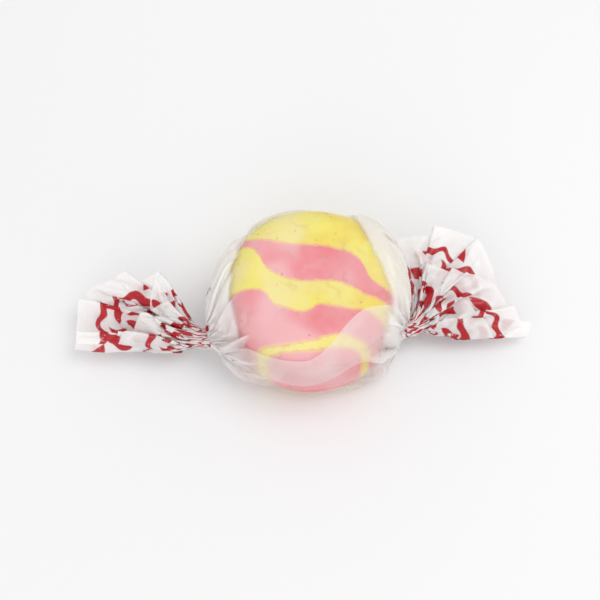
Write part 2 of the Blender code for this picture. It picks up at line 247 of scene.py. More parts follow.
@dataclass(frozen=True)
class Tail:
    """The open end of the paper past one twist: a flattened, pleated fan of two layers."""

    end: End
    neck: Place
    heading: float
    rise: float
    roll: float
    spread: float
    length: float
    pleats: float
    folded_under: float
    pleat_angle: float
    puff: float
    seed: int
    neck_radius: float = 0.0018
    neck_length: float = 0.0024
    neck_least: float = 0.62
    neck_swing: float = 0.42
    facet_length: float = 0.0085
    fold_radius: float = 0.0004
    opened_by: float = 0.45
    wind: float = 330.0
    wind_in_fan: float = 0.5

    def axes(self) -> tuple[np.ndarray, np.ndarray, np.ndarray]:
        """Return the fan's unit vectors: outwards, across towards +Y, and off its upper layer."""
        side = self.end.value
        heading, rise, roll = (math.radians(angle) for angle in (self.heading, self.rise, self.roll))
        out = np.array((side * math.cos(heading) * math.cos(rise), math.sin(heading) * math.cos(rise),
                        math.sin(rise)))
        level = np.cross((0.0, 0.0, 1.0), out) * side
        level /= np.linalg.norm(level)
        upward = np.cross(out, level) * side
        across = level * math.cos(roll) + upward * math.sin(roll)
        off = upward * math.cos(roll) - level * math.sin(roll)
        return out, across, off

    def root(self) -> np.ndarray:
        """Return the middle of the twist's outer end."""
        start = np.array((self.end.value, 0.0, 0.0))
        return np.array(self.neck) + self.neck_length * 0.5 * (start + self.axes()[0])

    def gathers(self, turns: np.ndarray, share: float) -> np.ndarray:
        """Return the twist's folds, wound round it by a share of its winding.

        Args:
            turns: Angles round the twist, in radians.
            share: The share of its winding.

        Returns:
            The height of the folds at each angle, 0 to 1.
        """
        turned = turns - self.end.value * math.radians(self.wind) * share
        draw = np.random.default_rng(self.seed)
        folds = np.zeros_like(turns)
        for count, height in TWIST_FOLDS:
            folds = folds + height * np.cos(count * turned + draw.uniform(0.0, FULL_TURN))
        return 0.5 + folds / TWIST_FOLD_SPAN

    def gathered(self, turns: np.ndarray, share: float) -> np.ndarray:
        """Return how far the gathered paper lies from the middle of the twist."""
        return self.neck_radius * (self.neck_least + self.neck_swing * self.gathers(turns, share))

    def neck_ring(self, turns: np.ndarray, share: float) -> np.ndarray:
        """Return the ring of points round the twist, at a share of its length from the candy's side.

        Args:
            turns: Angles round the twist, from +Y up towards +Z.
            share: 0 at the candy's side, 1 at the tail's.

        Returns:
            An array of points, one for each angle.
        """
        out, across, off = self.axes()
        start = np.array(self.neck)
        bend = start + np.array((self.end.value * self.neck_length / 2, 0.0, 0.0))
        centre = (1 - share) ** 2 * start + 2 * share * (1 - share) * bend + share ** 2 * self.root()
        sideways = (1 - share) * np.array((0.0, 1.0, 0.0)) + share * across
        upwards = (1 - share) * np.array((0.0, 0.0, 1.0)) + share * off
        reach = self.gathered(turns, share)
        return centre + np.outer(reach * np.cos(turns), sideways) + np.outer(reach * np.sin(turns), upwards)

    def place(self, turns: np.ndarray) -> np.ndarray:
        """Return how far across the fan each turn lies, from 1 at one side fold to -1 at the other."""
        turned = turns / math.pi
        return np.where(turned <= 1.0, 1.0 - 2.0 * turned, 2.0 * turned - 3.0)

    def pleat(self, turns: np.ndarray) -> tuple[np.ndarray, np.ndarray]:
        """Count the fan's pleats, which are laid flat over each other.

        Args:
            turns: Angles round the flattened fan.

        Returns:
            The number of the pleat at each turn, and how far through it the turn lies, 0 to 1.
        """
        place = self.place(turns)
        draw = np.random.default_rng(self.seed + 5)
        uneven = np.zeros_like(place)
        for height, waves in PLEAT_WAVES:
            uneven = uneven + height * np.sin(waves * math.pi * place + draw.uniform(*PLEAT_SHIFTS))
        count = self.pleats * (place + uneven) / 2
        return np.floor(count), count - np.floor(count)

    def facets(self, turns: np.ndarray, past: np.ndarray) -> np.ndarray:
        """Number the flat facets of the fan, which its pleats and a few creases across them part.

        Args:
            turns: Angles round the flattened fan.
            past: Length along the paper from the twist.

        Returns:
            A number for each point, alike inside a facet.
        """
        count, through = self.pleat(turns)
        strip = 2 * count + (through > 1.0 - self.folded_under)
        side = np.mod(strip, STRIPS).astype(int) + STRIPS * (turns > math.pi)
        draw = np.random.default_rng(self.seed + 9)
        crossed = draw.uniform(0.0, self.facet_length, 2 * STRIPS)[side]
        slant = draw.uniform(-FACET_SLANT, FACET_SLANT, 2 * STRIPS)[side] * self.facet_length
        row = np.floor((past + crossed + slant * through) / self.facet_length)
        return 1.0 + side * FACETS_ALONG + row

    def fan_ring(self, turns: np.ndarray, reach: float) -> np.ndarray:
        """Return the ring of points round the fan at a share of its length from the twist.

        Args:
            turns: Angles round the flattened fan, 0 and pi along its two side folds.
            reach: 0 at the twist, 1 at the length of the tail, and may pass it.

        Returns:
            An array of points, one for each angle.
        """
        out, across, off = self.axes()
        opened = float(smooth_step(reach, 0.0, self.opened_by))
        through = self.pleat(turns)[1]
        under = self.folded_under
        back = np.maximum(through - (1.0 - under), 0.0)
        gone = (through - 2 * back) / (1.0 - 2 * under)
        folded = self.place(turns) + opened * (gone - through) * 2 / self.pleats
        swing = math.radians(self.spread / 2) * folded
        gathered = self.gathered(turns, 1.0 + self.wind_in_fan * reach)
        fold = gathered + (self.fold_radius - gathered) * opened
        rising = 2 * through / (1.0 - under) - 1.0
        falling = 1.0 - 2 * back / under
        pleat = math.radians(self.pleat_angle) * opened * np.where(back > 0.0, falling, rising)
        lift = math.radians(self.puff) * np.sin(turns) + pleat
        level = np.outer(np.cos(swing), out) + np.outer(np.sin(swing), across)
        fan = np.cos(lift)[:, None] * level + np.sin(lift)[:, None] * off
        tube = np.outer(fold * np.cos(turns), across) + np.outer(fold * np.sin(turns), off)
        return self.root() + tube + self.length * reach * fan


@dataclass(frozen=True)
class Shoulder:
    """A part of the candy's upper edge that the paper stands off in a loose fold."""

    heading: float
    foot: float
    width: float
    height: float
    low: float
    high: float

    def share(self, points: np.ndarray) -> np.ndarray:
        """Return how fully each point belongs to the fold, 0 to 1, from its foot outwards."""
        heading = math.radians(self.heading)
        inside = math.cos(heading) * points[..., 0] + math.sin(heading) * points[..., 1] - self.foot
        return np.clip(inside / self.width, 0.0, 1.0) * smooth_step(points[..., 2], self.low, self.high)


@dataclass
class Springs:
    """One family of pairs of points on the sheet, no point in two of its pairs, and their flat distance."""

    first: Slices
    second: Slices
    rest: np.ndarray
    push: np.ndarray
    pull: float
    creases: bool
    gives_way: float = 0.84
    onset: float = 9.0
    least_push: float = 0.04

    def hold(self, points: np.ndarray) -> None:
        """Move each pair towards its flat distance, in place.

        Args:
            points: The sheet's points, which are changed.
        """
        near = points[self.first]
        far = points[self.second]
        apart = far - near
        length = np.sqrt(np.einsum("ijk,ijk->ij", apart, apart)) + TINY
        error = length - self.rest
        push = self.push
        if self.creases:
            unbent = (length / self.rest - self.gives_way) * self.onset
            push = push * np.clip(unbent, self.least_push, 1.0)
        strength = np.where(error > 0.0, self.pull, push)
        move = (0.5 * strength * error / length)[..., None] * apart
        near += move
        far -= move


NEXT_CELLS = ((0, 0, 0), (0, 0, 1), (0, 1, -1), (0, 1, 0), (0, 1, 1),
              *((1, along_y, along_z) for along_y in (-1, 0, 1) for along_z in (-1, 0, 1)))


@dataclass
class Crowd:
    """Keeps folds of the sheet from passing through each other."""

    flat: np.ndarray
    reach: float
    strength: float = 0.7
    most_in_cell: int = 5
    apart_on_sheet: float = 2.4
    least_length: float = 1e-9
    most_move: float = 0.5

    def part(self, points: np.ndarray) -> np.ndarray:
        """Push apart the points that lie close in space but not on the sheet.

        Args:
            points: Positions, one row for each point.

        Returns:
            How far each point is moved.
        """
        cells = np.floor((points - points.min(axis=0)) / self.reach).astype(np.int64) + 1
        size = int(cells.max()) + 2
        keys = (cells[:, 0] * size + cells[:, 1]) * size + cells[:, 2]
        order = np.argsort(keys, kind="stable")
        ordered = keys[order]
        firsts = []
        seconds = []
        for along_x, along_y, along_z in NEXT_CELLS:
            step = (along_x * size + along_y) * size + along_z
            low = np.searchsorted(ordered, keys + step, "left")
            high = np.searchsorted(ordered, keys + step, "right")
            for place in range(self.most_in_cell):
                found = np.nonzero(low + place < high)[0]
                if len(found) == 0:
                    break
                firsts.append(found)
                seconds.append(order[low[found] + place])
        first = np.concatenate(firsts)
        second = np.concatenate(seconds)
        apart = points[first] - points[second]
        square = np.einsum("ij,ij->i", apart, apart)
        off_sheet = self.flat[first] - self.flat[second]
        flat_square = np.einsum("ij,ij->i", off_sheet, off_sheet)
        counted_once = (keys[first] != keys[second]) | (first < second)
        close = counted_once & (square < self.reach ** 2)
        close &= flat_square > (self.apart_on_sheet * self.reach) ** 2
        first = first[close]
        second = second[close]
        length = np.sqrt(square[close]) + self.least_length
        push = (0.5 * self.strength * (self.reach - length) / length)[:, None] * apart[close]
        moves = np.empty_like(points)
        for axis in range(3):
            moves[:, axis] = (np.bincount(first, push[:, axis], len(points))
                              - np.bincount(second, push[:, axis], len(points)))
        moved = np.linalg.norm(moves, axis=1)[:, None] + TINY
        return moves * np.minimum(1.0, self.most_move * self.reach / moved)


def pairs_of_slices(shape: tuple[int, int], down: int, across: int, group: int) -> tuple[Slices, Slices]:
    """Pick pairs of grid points a step apart, of which every second step's length starts one.

    Args:
        shape: Rows and columns of the grid.
        down: The step's rows.
        across: The step's columns.
        group: Which of the disjoint sets of pairs.

    Returns:
        The slices of each pair's first point and of its second.
    """
    rows, columns = shape
    if down == 0:
        first = (slice(None), slice(group, columns - across, 2 * across))
        second = (slice(None), slice(group + across, columns, 2 * across))
        return first, second
    first_rows = slice(group, rows - down, 2 * down)
    second_rows = slice(group + down, rows, 2 * down)
    if across >= 0:
        return (first_rows, slice(0, columns - across)), (second_rows, slice(across, columns))
    return (first_rows, slice(-across, columns)), (second_rows, slice(0, columns + across))


@dataclass
class SheetPoints:
    """What is known of each point of the sheet before it settles."""

    flat: np.ndarray
    goal: np.ndarray
    crisp: np.ndarray
    grip: np.ndarray
    cling: np.ndarray
    clearance: np.ndarray
    in_tail: np.ndarray
    along: np.ndarray
    turns: np.ndarray

    def finer(self) -> "SheetPoints":
        """Return the same for a sheet with twice the points along and around."""
        return SheetPoints(*(finer(finer(values, 0), 1) for values in vars(self).values()))


STRETCH_STEPS = ((1, 0, 1.0), (0, 1, 1.0), (1, 1, 0.6), (1, -1, 0.6))
FOLD_STEPS = ((2, 0), (0, 2), (2, 2), (2, -2))
BOW_STEPS = ((4, 0), (0, 4), (8, 0), (0, 8))


@dataclass
class Settling:
    """Round after round, the points find places that fit the sheet's lengths, the candy and the floor."""

    disc: CandyDisc
    sheet: SheetPoints
    facets: np.ndarray
    fold_push: float
    bow_push: float
    spacing: float
    crease_push: float = 0.06
    turns_of_bends: int = 4
    turns_of_crowd: int = 4
    crowded_from: float = 0.0022
    crowd_waits: int = 5
    cling_reach: float = 0.0007
    floor: float = 0.00006

    def springs(self, down: int, across: int, strength: float, creases: bool) -> list[Springs]:
        """Join every pair of points that are one such step apart.

        Args:
            down: The step's rows.
            across: The step's columns.
            strength: How strongly a pair is held, 0 to 1.
            creases: Whether the pairs only resist bending, and give way at a crease.

        Returns:
            The families of pairs.
        """
        flat = self.sheet.flat
        crisp = self.sheet.crisp
        families = []
        for group in range(2 * (down or across)):
            first, second = pairs_of_slices(flat.shape[:2], down, across, group)
            rest = np.linalg.norm(flat[second] - flat[first], axis=-1)
            if rest.size:
                push = strength * (crisp[first] + crisp[second]) / 2
                if creases:
                    same_facet = self.facets[first] == self.facets[second]
                    push = np.where(same_facet, push, self.crease_push * push)
                families.append(Springs(first, second, rest, push, 0.0 if creases else strength, creases))
        return families

    def run(self, points: np.ndarray, rounds: int) -> np.ndarray:
        """Let the sheet settle.

        Args:
            points: The sheet's points, which are changed.
            rounds: How many rounds are run.

        Returns:
            The settled points.
        """
        sheet = self.sheet
        stretch = []
        for down, across, strength in STRETCH_STEPS:
            stretch += self.springs(down, across, strength, False)
        bends = []
        for steps, push in ((FOLD_STEPS, self.fold_push), (BOW_STEPS, self.bow_push)):
            for down, across in steps:
                bends += self.springs(down, across, push, True)
        crowded = sheet.in_tail > self.crowded_from
        crowd = Crowd(sheet.flat[crowded], self.spacing)
        grip = sheet.grip[..., None]
        for step in range(rounds):
            for family in stretch + bends[step % self.turns_of_bends::self.turns_of_bends]:
                family.hold(points)
            points += grip * (sheet.goal - points)
            if step % self.turns_of_crowd == 0 and step * self.crowd_waits > rounds:
                points[crowded] += crowd.part(points[crowded])
            distance, outward = self.disc.outward(points, sheet.clearance)
            near = sheet.cling * distance * np.exp(-(distance / self.cling_reach) ** 2)
            points -= np.where(distance > 0.0, near, distance)[..., None] * outward
            points[..., 2] = np.maximum(points[..., 2], self.floor)
        return points


EASED_EACH_ROUND = 0.7
LEAST_HEIGHT = 0.00004


def smoothed(points: np.ndarray, share: np.ndarray, rounds: int) -> np.ndarray:
    """Ease a grid of points towards the middle of their neighbours.

    Args:
        points: The grid.
        share: How much of it each point takes part, 0 to 1.
        rounds: How often it is done.

    Returns:
        The smoother grid.
    """
    weight = EASED_EACH_ROUND * share[1:-1, 1:-1, None]
    points = points.copy()
    for _ in range(rounds):
        middle = (points[:-2, 1:-1] + points[2:, 1:-1] + points[1:-1, :-2] + points[1:-1, 2:]) / 4
        points[1:-1, 1:-1] += weight * (middle - points[1:-1, 1:-1])
    return points


def clear_of_candy(disc: CandyDisc, points: np.ndarray, clearance: np.ndarray) -> np.ndarray:
    """Bring points that lie in the candy or the floor out of it.

    Args:
        disc: The candy disc.
        points: Points of the paper.
        clearance: How far off the candy each point is to keep.

    Returns:
        The points outside.
    """
    distance, outward = disc.outward(points, clearance)
    points = points - np.minimum(distance, 0.0)[..., None] * outward
    points[..., 2] = np.maximum(points[..., 2], LEAST_HEIGHT)
    return points


@dataclass(frozen=True)
class Temper:
    """How stiff the paper is and how firmly it is held, by its length past the twists' starts and ends."""

    crisp_on_body: Range = (0.0005, 0.0085)
    crisp_in_tail: Range = (0.0005, 0.0095)
    stiffer_in_tail: Range = (0.001, 0.004)
    tail_stiffness: float = 1.35
    held_on_body: Range = (0.0, 0.0025)
    held_in_tail: Range = (0.0, 0.0030)
    twist_grip: float = 0.9
    body_grip: float = 0.003
    tail_grip: float = 0.004
    shoulder_grip: float = 0.015
    cling: float = 0.06
    cling_range: Range = (0.008, 0.0135)

    def crisp(self, beyond: np.ndarray, in_tail: np.ndarray) -> np.ndarray:
        """Return how well each point resists bending: not in the twists, and best in the fans.

        Args:
            beyond: Length past the nearer twist's start, less than 0 on the body.
            in_tail: Length past its outer end.

        Returns:
            The stiffness at each point.
        """
        crisp = np.maximum(smooth_step(in_tail, *self.crisp_in_tail),
                           smooth_step(-beyond, *self.crisp_on_body))
        return crisp * (1.0 + (self.tail_stiffness - 1.0) * smooth_step(in_tail, *self.stiffer_in_tail))

    def grip(self, beyond: np.ndarray, in_tail: np.ndarray, shoulder: np.ndarray) -> np.ndarray:
        """Return how firmly each point is held to its goal, most of all in the twists.

        Args:
            beyond: Length past the nearer twist's start, less than 0 on the body.
            in_tail: Length past its outer end.
            shoulder: How fully each point belongs to a loose fold.

        Returns:
            The grip on each point, 0 to 1.
        """
        on_body = beyond < 0.0
        held = np.where(on_body, 1.0 - smooth_step(-beyond, *self.held_on_body),
                        1.0 - smooth_step(in_tail, *self.held_in_tail))
        grip = self.twist_grip * held + np.where(on_body, self.body_grip, self.tail_grip)
        return grip + self.shoulder_grip * shoulder

    def clinging(self, beyond: np.ndarray, shoulder: np.ndarray) -> np.ndarray:
        """Return how strongly each point is drawn to the candy: on its faces, but not in a loose fold."""
        return self.cling * smooth_step(-beyond, *self.cling_range) * (1.0 - shoulder)


@dataclass(frozen=True)
class Slackness:
    """Where the spare paper starts from: bulging tents beside the twists, and an uneven swell."""

    bulge: float = 0.0009
    tent_rise: Range = (0.001, 0.006)
    tent_fall: Range = (0.0095, 0.0150)
    tent_mean: float = 0.75
    tent_swing: float = 0.35
    tent_wave: float = 0.014
    swells: tuple[tuple[int, float, float], ...] = ((31, 0.0042, 0.00022), (32, 0.0110, 0.0005))
    off_twist: Range = (0.0015, 0.006)
    off_body: Range = (-0.010, 0.0)

    def tents(self, goal: np.ndarray, beyond: np.ndarray) -> np.ndarray:
        """Return how far each point of the tents beside the twists stands out.

        Args:
            goal: The points.
            beyond: Length past the nearer twist's start, less than 0 on the body.

        Returns:
            The heights.
        """
        tent = smooth_step(-beyond, *self.tent_rise) * (1.0 - smooth_step(-beyond, *self.tent_fall))
        wave = Ripple(seed=33, wavelength=self.tent_wave).at(goal)
        return self.bulge * tent * (self.tent_mean + self.tent_swing * wave)

    def swell(self, goal: np.ndarray, beyond: np.ndarray) -> np.ndarray:
        """Return how far each point is put off its goal, so that the paper finds folds of its own.

        Args:
            goal: The points.
            beyond: Length past the nearer twist's start, less than 0 on the body.

        Returns:
            The heights.
        """
        loose = smooth_step(np.abs(beyond), *self.off_twist) * smooth_step(beyond, *self.off_body)
        swell = sum(Ripple(seed=seed, wavelength=wavelength).at(goal) * height
                    for seed, wavelength, height in self.swells)
        return swell * loose


@dataclass
class PaperWrap:
    """The sheet of waxed paper: how it is cut, laid round the candy, twisted and settled."""

    disc: CandyDisc
    left: Tail
    right: Tail
    temper: Temper = Temper()
    slackness: Slackness = Slackness()
    length: float = 0.0758
    towards_left: float = -0.0003
    overlap: float = 0.0082
    slack: float = 1.012
    skew: float = 4.2
    seam_angle: float = 133.0
    seam_swing: float = 30.0
    seam_bend: Range = (-0.001, 0.0095)
    loose_edge: float = 0.026
    lifted_from: float = 0.0125
    lifted_to: float = 0.009
    doubled_blur: float = 0.0003
    clearance: float = 0.00007
    layer_gap: float = 0.00012
    farthest: float = 0.04
    halvings: int = 34
    gather_depth: float = 0.0011
    gather_reach: float = 0.0075
    gather_wind: float = -0.35
    rows: int = 140
    columns: int = 150
    rounds: int = 560
    fine_rounds: int = 70
    smoothing_rounds: int = 14
    fold_push: float = 0.35
    bow_push: float = 0.45
    spacing: float = 0.00044
    fine_spacing: float = 0.6
    facets_from: float = 0.001
    sunk_in_gap: float = 0.6
    shoulders: tuple[Shoulder, ...] = (
        Shoulder(heading=22.3, foot=0.0096, width=0.0016, height=0.0013, low=0.0065, high=0.0110),
        Shoulder(heading=168.7, foot=0.0116, width=0.0022, height=0.0021, low=0.0050, high=0.0095),
        Shoulder(heading=112.0, foot=0.0098, width=0.0034, height=0.00042, low=0.0050, high=0.0125),
    )
    turns: int = 240
    stations: int = 421
    body_stations: int = 131
    fine_steps: int = 720
    fan_reach: float = 1.5
    fan_rings: int = 45
    neck_rings: int = 9
    table_reach: float = 0.048
    last_station: float = 1.001
    girth: float = field(init=False, repr=False)
    width: float = field(init=False, repr=False)
    even_turns: np.ndarray = field(init=False, repr=False)
    fine_angles: np.ndarray = field(init=False, repr=False)
    turn_grid: np.ndarray = field(init=False, repr=False)
    table: np.ndarray = field(init=False, repr=False)
    lifted: np.ndarray = field(init=False, repr=False)
    neck_starts: dict[End, np.ndarray] = field(init=False, repr=False)

    def touching(self, along: np.ndarray, angles: np.ndarray) -> np.ndarray:
        """Find how far the candy is from the line between the twists.

        Args:
            along: Places along x.
            angles: Angles round that line, from +Y up towards +Z.

        Returns:
            The reach for each place and angle, 0 past the candy's ends.
        """
        near = np.zeros((len(along), len(angles)))
        far = np.full_like(near, self.farthest)
        for _ in range(self.halvings):
            middle = (near + far) / 2
            inside = self.disc.outward(self.off_line(along, angles, middle), self.clearance)[0] < 0.0
            near = np.where(inside, middle, near)
            far = np.where(inside, far, middle)
        return near

    def off_line(self, along: np.ndarray, angles: np.ndarray, reach: np.ndarray) -> np.ndarray:
        """Return points at a reach from the line between the twists, for each place and angle.

        Args:
            along: Places along x, one for each ring.
            angles: Angles round the line, in radians.
            reach: The distance from the line.

        Returns:
            The points, ring by ring.
        """
        left = np.array(self.left.neck)
        right = np.array(self.right.neck)
        share = (along - left[0]) / (right[0] - left[0])
        line = left + share[:, None] * (right - left)
        points = np.repeat(line[:, None, :], len(angles), axis=1)
        points[..., 1] += reach * np.cos(angles)
        points[..., 2] += reach * np.sin(angles)
        return points

    def body_rings(self, angles: np.ndarray, turns: np.ndarray) -> np.ndarray:
        """Return the paper pulled taut round the candy, from twist to twist.

        Args:
            angles: Angles round the line between the twists.
            turns: The same places as even turns round the paper, for its gathers.

        Returns:
            An array of points by place along x and angle.
        """
        start = self.left.neck[0]
        stop = self.right.neck[0]
        quarter_turns = np.linspace(-0.5, 0.5, self.body_stations) * math.pi
        along = (start + stop) / 2 + (stop - start) / 2 * np.sin(quarter_turns)
        touched = self.touching(along, angles)
        reach = touched.copy()
        for tail in (self.left, self.right):
            side = tail.end.value
            gone = np.maximum(side * (tail.neck[0] - along), WELD)[:, None]
            slope = np.where(gone > tail.neck_radius / 2, (touched - tail.neck_radius) / gone, -np.inf)
            touch = np.argmax(slope, axis=0)
            steepest = np.take_along_axis(slope, touch[None, :], axis=0)
            past = side * (along[:, None] - along[touch][None, :]) > 0.0
            reach = np.where(past, tail.neck_radius + steepest * gone, reach)
        for tail in (self.left, self.right):
            gap = np.maximum(tail.end.value * (tail.neck[0] - along), 0.0)
            for row, distance in enumerate(gap):
                if distance > self.gather_reach:
                    continue
                at_neck = 1.0 - float(smooth_step(distance, 0.0, self.gather_reach / 3))
                away = 1.0 - float(smooth_step(distance, 0.0, self.gather_reach))
                folds = tail.gathers(turns, self.gather_wind * distance / self.gather_reach)
                neck = tail.neck_radius * (tail.neck_swing * folds - (1.0 - tail.neck_least))
                ridge = self.gather_depth * away * (folds - 0.5)
                reach[row] += at_neck * neck + (1.0 - at_neck) * ridge
        rings = self.off_line(along, angles, reach)
        stand_off = np.max([shoulder.height * shoulder.share(rings) for shoulder in self.shoulders], axis=0)
        return rings + stand_off[..., None] * self.disc.outward(rings)[1]

    def lay_out(self) -> None:
        """Work out where paper lies at each even turn round and each length along, as a table."""
        fine = np.linspace(0.0, FULL_TURN, self.fine_steps + 1)
        middle = np.array((0.0,))
        ring = self.off_line(middle, fine, self.touching(middle, fine))[0]
        steps = np.linalg.norm(np.diff(ring, axis=0), axis=1)
        around = np.concatenate(((0.0,), np.cumsum(steps)))
        self.girth = float(around[-1])
        self.even_turns = around / self.girth * FULL_TURN
        self.fine_angles = fine
        turns = np.linspace(0.0, FULL_TURN, self.turns + 1)
        angles = np.interp(turns, self.even_turns, fine)
        reaches = np.linspace(0.0, self.fan_reach, self.fan_rings + 1)[1:]
        shares = np.linspace(0.0, 1.0, self.neck_rings + 1)[1:]
        ends = {}
        for tail in (self.left, self.right):
            twist = [tail.neck_ring(turns, share) for share in shares]
            ends[tail.end] = twist + [tail.fan_ring(turns, reach) for reach in reaches]
        body = list(self.body_rings(angles, turns))
        lines = np.array(ends[End.LEFT][::-1] + body + ends[End.RIGHT])
        before = len(ends[End.LEFT])
        lengths = np.concatenate((np.zeros((1, len(turns))),
                                  np.cumsum(np.linalg.norm(np.diff(lines, axis=0), axis=2), axis=0)))
        lengths = lengths - lengths[before + len(body) // 2]
        stations = np.linspace(-self.table_reach, self.table_reach, self.stations)
        self.table = np.empty((self.stations, len(turns), 3))
        for column, length in enumerate(lengths.T):
            for axis in range(3):
                self.table[:, column, axis] = np.interp(stations, length, lines[:, column, axis])
        self.neck_starts = {End.LEFT: -lengths[before], End.RIGHT: lengths[before + len(body) - 1]}
        self.turn_grid = turns

    def looked_up(self, along: np.ndarray, turns: np.ndarray) -> np.ndarray:
        """Read the table between its entries.

        Args:
            along: Lengths along the paper from the candy's middle.
            turns: Even turns round the paper, which may pass a full turn.

        Returns:
            The points.
        """
        step = 2 * self.table_reach / (self.stations - 1)
        row = np.clip((along + self.table_reach) / step, 0.0, self.stations - self.last_station)
        column = np.mod(turns, FULL_TURN) / FULL_TURN * self.turns
        row_below = row.astype(int)
        column_below = np.minimum(column.astype(int), self.turns - 1)
        row_share = (row - row_below)[..., None]
        column_share = (column - column_below)[..., None]
        low = (self.table[row_below, column_below] * (1 - column_share)
               + self.table[row_below, column_below + 1] * column_share)
        high = (self.table[row_below + 1, column_below] * (1 - column_share)
                + self.table[row_below + 1, column_below + 1] * column_share)
        return low * (1 - row_share) + high * row_share

    def cut(self) -> tuple[np.ndarray, np.ndarray, np.ndarray]:
        """Lay the flat sheet out as a grid.

        Returns:
            The flat positions along and around, and the even turn of each point.
        """
        per_turn = self.girth * self.slack
        width = per_turn + self.overlap
        cut_along = np.linspace(-self.length / 2, self.length / 2, self.rows + 1)[:, None]
        cut_around = np.linspace(0.0, width, self.columns + 1)[None, :]
        skew = math.radians(self.skew)
        along = cut_along * math.cos(skew) - (cut_around - width / 2) * math.sin(skew) - self.towards_left
        around = cut_around + cut_along * math.sin(skew)
        swing = math.radians(self.seam_swing) * smooth_step(along, *self.seam_bend)
        loose = smooth_step(cut_around, width - self.loose_edge, width)
        around = around + swing * loose * per_turn / FULL_TURN
        seam = np.interp(math.radians(self.seam_angle), self.fine_angles, self.even_turns)
        turns = seam + FULL_TURN * (width - around) / per_turn
        self.width = width
        lifted = smooth_step(cut_around, width - self.lifted_from, width - self.lifted_to)
        self.lifted = np.broadcast_to(lifted, turns.shape)
        return along, around, turns

    def laid_round(self) -> tuple[np.ndarray, SheetPoints]:
        """Lay the sheet loosely round the candy and note what is known of its points.

        Returns:
            The points to start from, and what is known of them.
        """
        along, around, turns = self.cut()
        goal = self.looked_up(along, turns)
        normals = sheet_normals(goal)
        goal = goal + normals * (self.layer_gap * self.lifted)[..., None]
        past = {}
        for end in End:
            neck = np.interp(np.mod(turns, FULL_TURN), self.turn_grid, self.neck_starts[end])
            past[end] = end.value * along - neck
        beyond = np.maximum(past[End.LEFT], past[End.RIGHT])
        in_tail = beyond - self.left.neck_length
        shoulder = np.max([shoulder.share(goal) for shoulder in self.shoulders], axis=0)
        bulge = self.slackness.tents(goal, beyond) * (1.0 - shoulder)
        goal = goal + normals * bulge[..., None]
        sheet = SheetPoints(
            flat=np.stack((along, around), axis=-1),
            goal=goal,
            crisp=self.temper.crisp(beyond, in_tail),
            grip=self.temper.grip(beyond, in_tail, shoulder),
            cling=self.temper.clinging(beyond, shoulder),
            clearance=self.clearance + self.layer_gap * self.lifted,
            in_tail=in_tail,
            along=along,
            turns=turns,
        )
        return goal + normals * self.slackness.swell(goal, beyond)[..., None], sheet

    def settle(self) -> tuple[np.ndarray, np.ndarray]:
        """Lay the sheet round the candy and let it settle, first roughly and then finely.

        Returns:
            The settled points, and the candy's clearance at each.
        """
        self.lay_out()
        points, sheet = self.laid_round()
        points = self.settling(sheet, self.spacing).run(points, self.rounds)
        points = finer(finer(points, 0), 1)
        sheet = sheet.finer()
        fine = self.settling(sheet, self.spacing * self.fine_spacing)
        points = fine.run(points, self.fine_rounds)
        points = smoothed(points, sheet.cling / self.temper.cling, self.smoothing_rounds)
        return clear_of_candy(self.disc, points, sheet.clearance), sheet.clearance

    def settling(self, sheet: SheetPoints, spacing: float) -> Settling:
        """Get one run of the settling ready.

        Args:
            sheet: What is known of the sheet's points.
            spacing: How far apart folds keep.

        Returns:
            The settling.
        """
        turns = np.mod(sheet.turns, FULL_TURN)
        numbers = np.where(sheet.along < 0.0, self.left.facets(turns, sheet.in_tail),
                           self.right.facets(turns, sheet.in_tail))
        facets = np.where(sheet.in_tail > self.facets_from, numbers, 0.0)
        return Settling(self.disc, sheet, facets, self.fold_push, self.bow_push, spacing)

    def doubled(self, columns: int) -> np.ndarray:
        """Return where the sheet lies over its own other edge, 0 or 1 for each of its columns."""
        around = np.linspace(0.0, self.width, columns + 1)
        start = self.width - self.overlap
        return smooth_step(around, start, start + self.doubled_blur)

    def build(self, finish: "WaxedPaper") -> bpy.types.Object:
        """Make the settled sheet a mesh, with its flat layout as a UV map and its gap to the candy.

        Args:
            finish: The paper's finish.

        Returns:
            The paper's object.
        """
        points, clearance = self.settle()
        rows = points.shape[0] - 1
        columns = points.shape[1] - 1
        sheet = bmesh.new()
        sheet.loops.layers.uv.new("sheet")
        bmesh.ops.create_grid(sheet, x_segments=rows, y_segments=columns, size=1.0, calc_uvs=True)
        mesh = mesh_from(sheet, "wrapper_paper")
        places = np.empty(len(mesh.vertices) * 3)
        mesh.vertices.foreach_get("co", places)
        places = places.reshape(-1, 3)
        row = np.rint((places[:, 0] + 1.0) / 2.0 * rows).astype(int)
        column = np.rint((places[:, 1] + 1.0) / 2.0 * columns).astype(int)
        settled = points[row, column]
        mesh.vertices.foreach_set("co", settled.ravel())
        lifted = self.disc.outward(settled)[0] - clearance[row, column]
        gap = (np.maximum(lifted, 0.0) + self.sunk_in_gap * self.disc.sunk(settled)) / MM
        for name, values in (("gap", gap), ("fold", sharpness(points)[row, column]),
                             ("doubled", self.doubled(columns)[column])):
            layer = mesh.attributes.new(name, "FLOAT", "POINT")
            layer.data.foreach_set("value", values.astype(np.float32))
        mesh.update()
        middle = mesh.polygons[len(mesh.polygons) // 2]
        if self.disc.outward(np.array(middle.center))[1] @ np.array(middle.normal) < 0.0:
            mesh.flip_normals()
        mesh.shade_smooth()
        mesh.materials.append(finish.build())
        return placed("wrapper_paper", mesh)


SHARP_BENDS: Range = (0.5, 2.0)


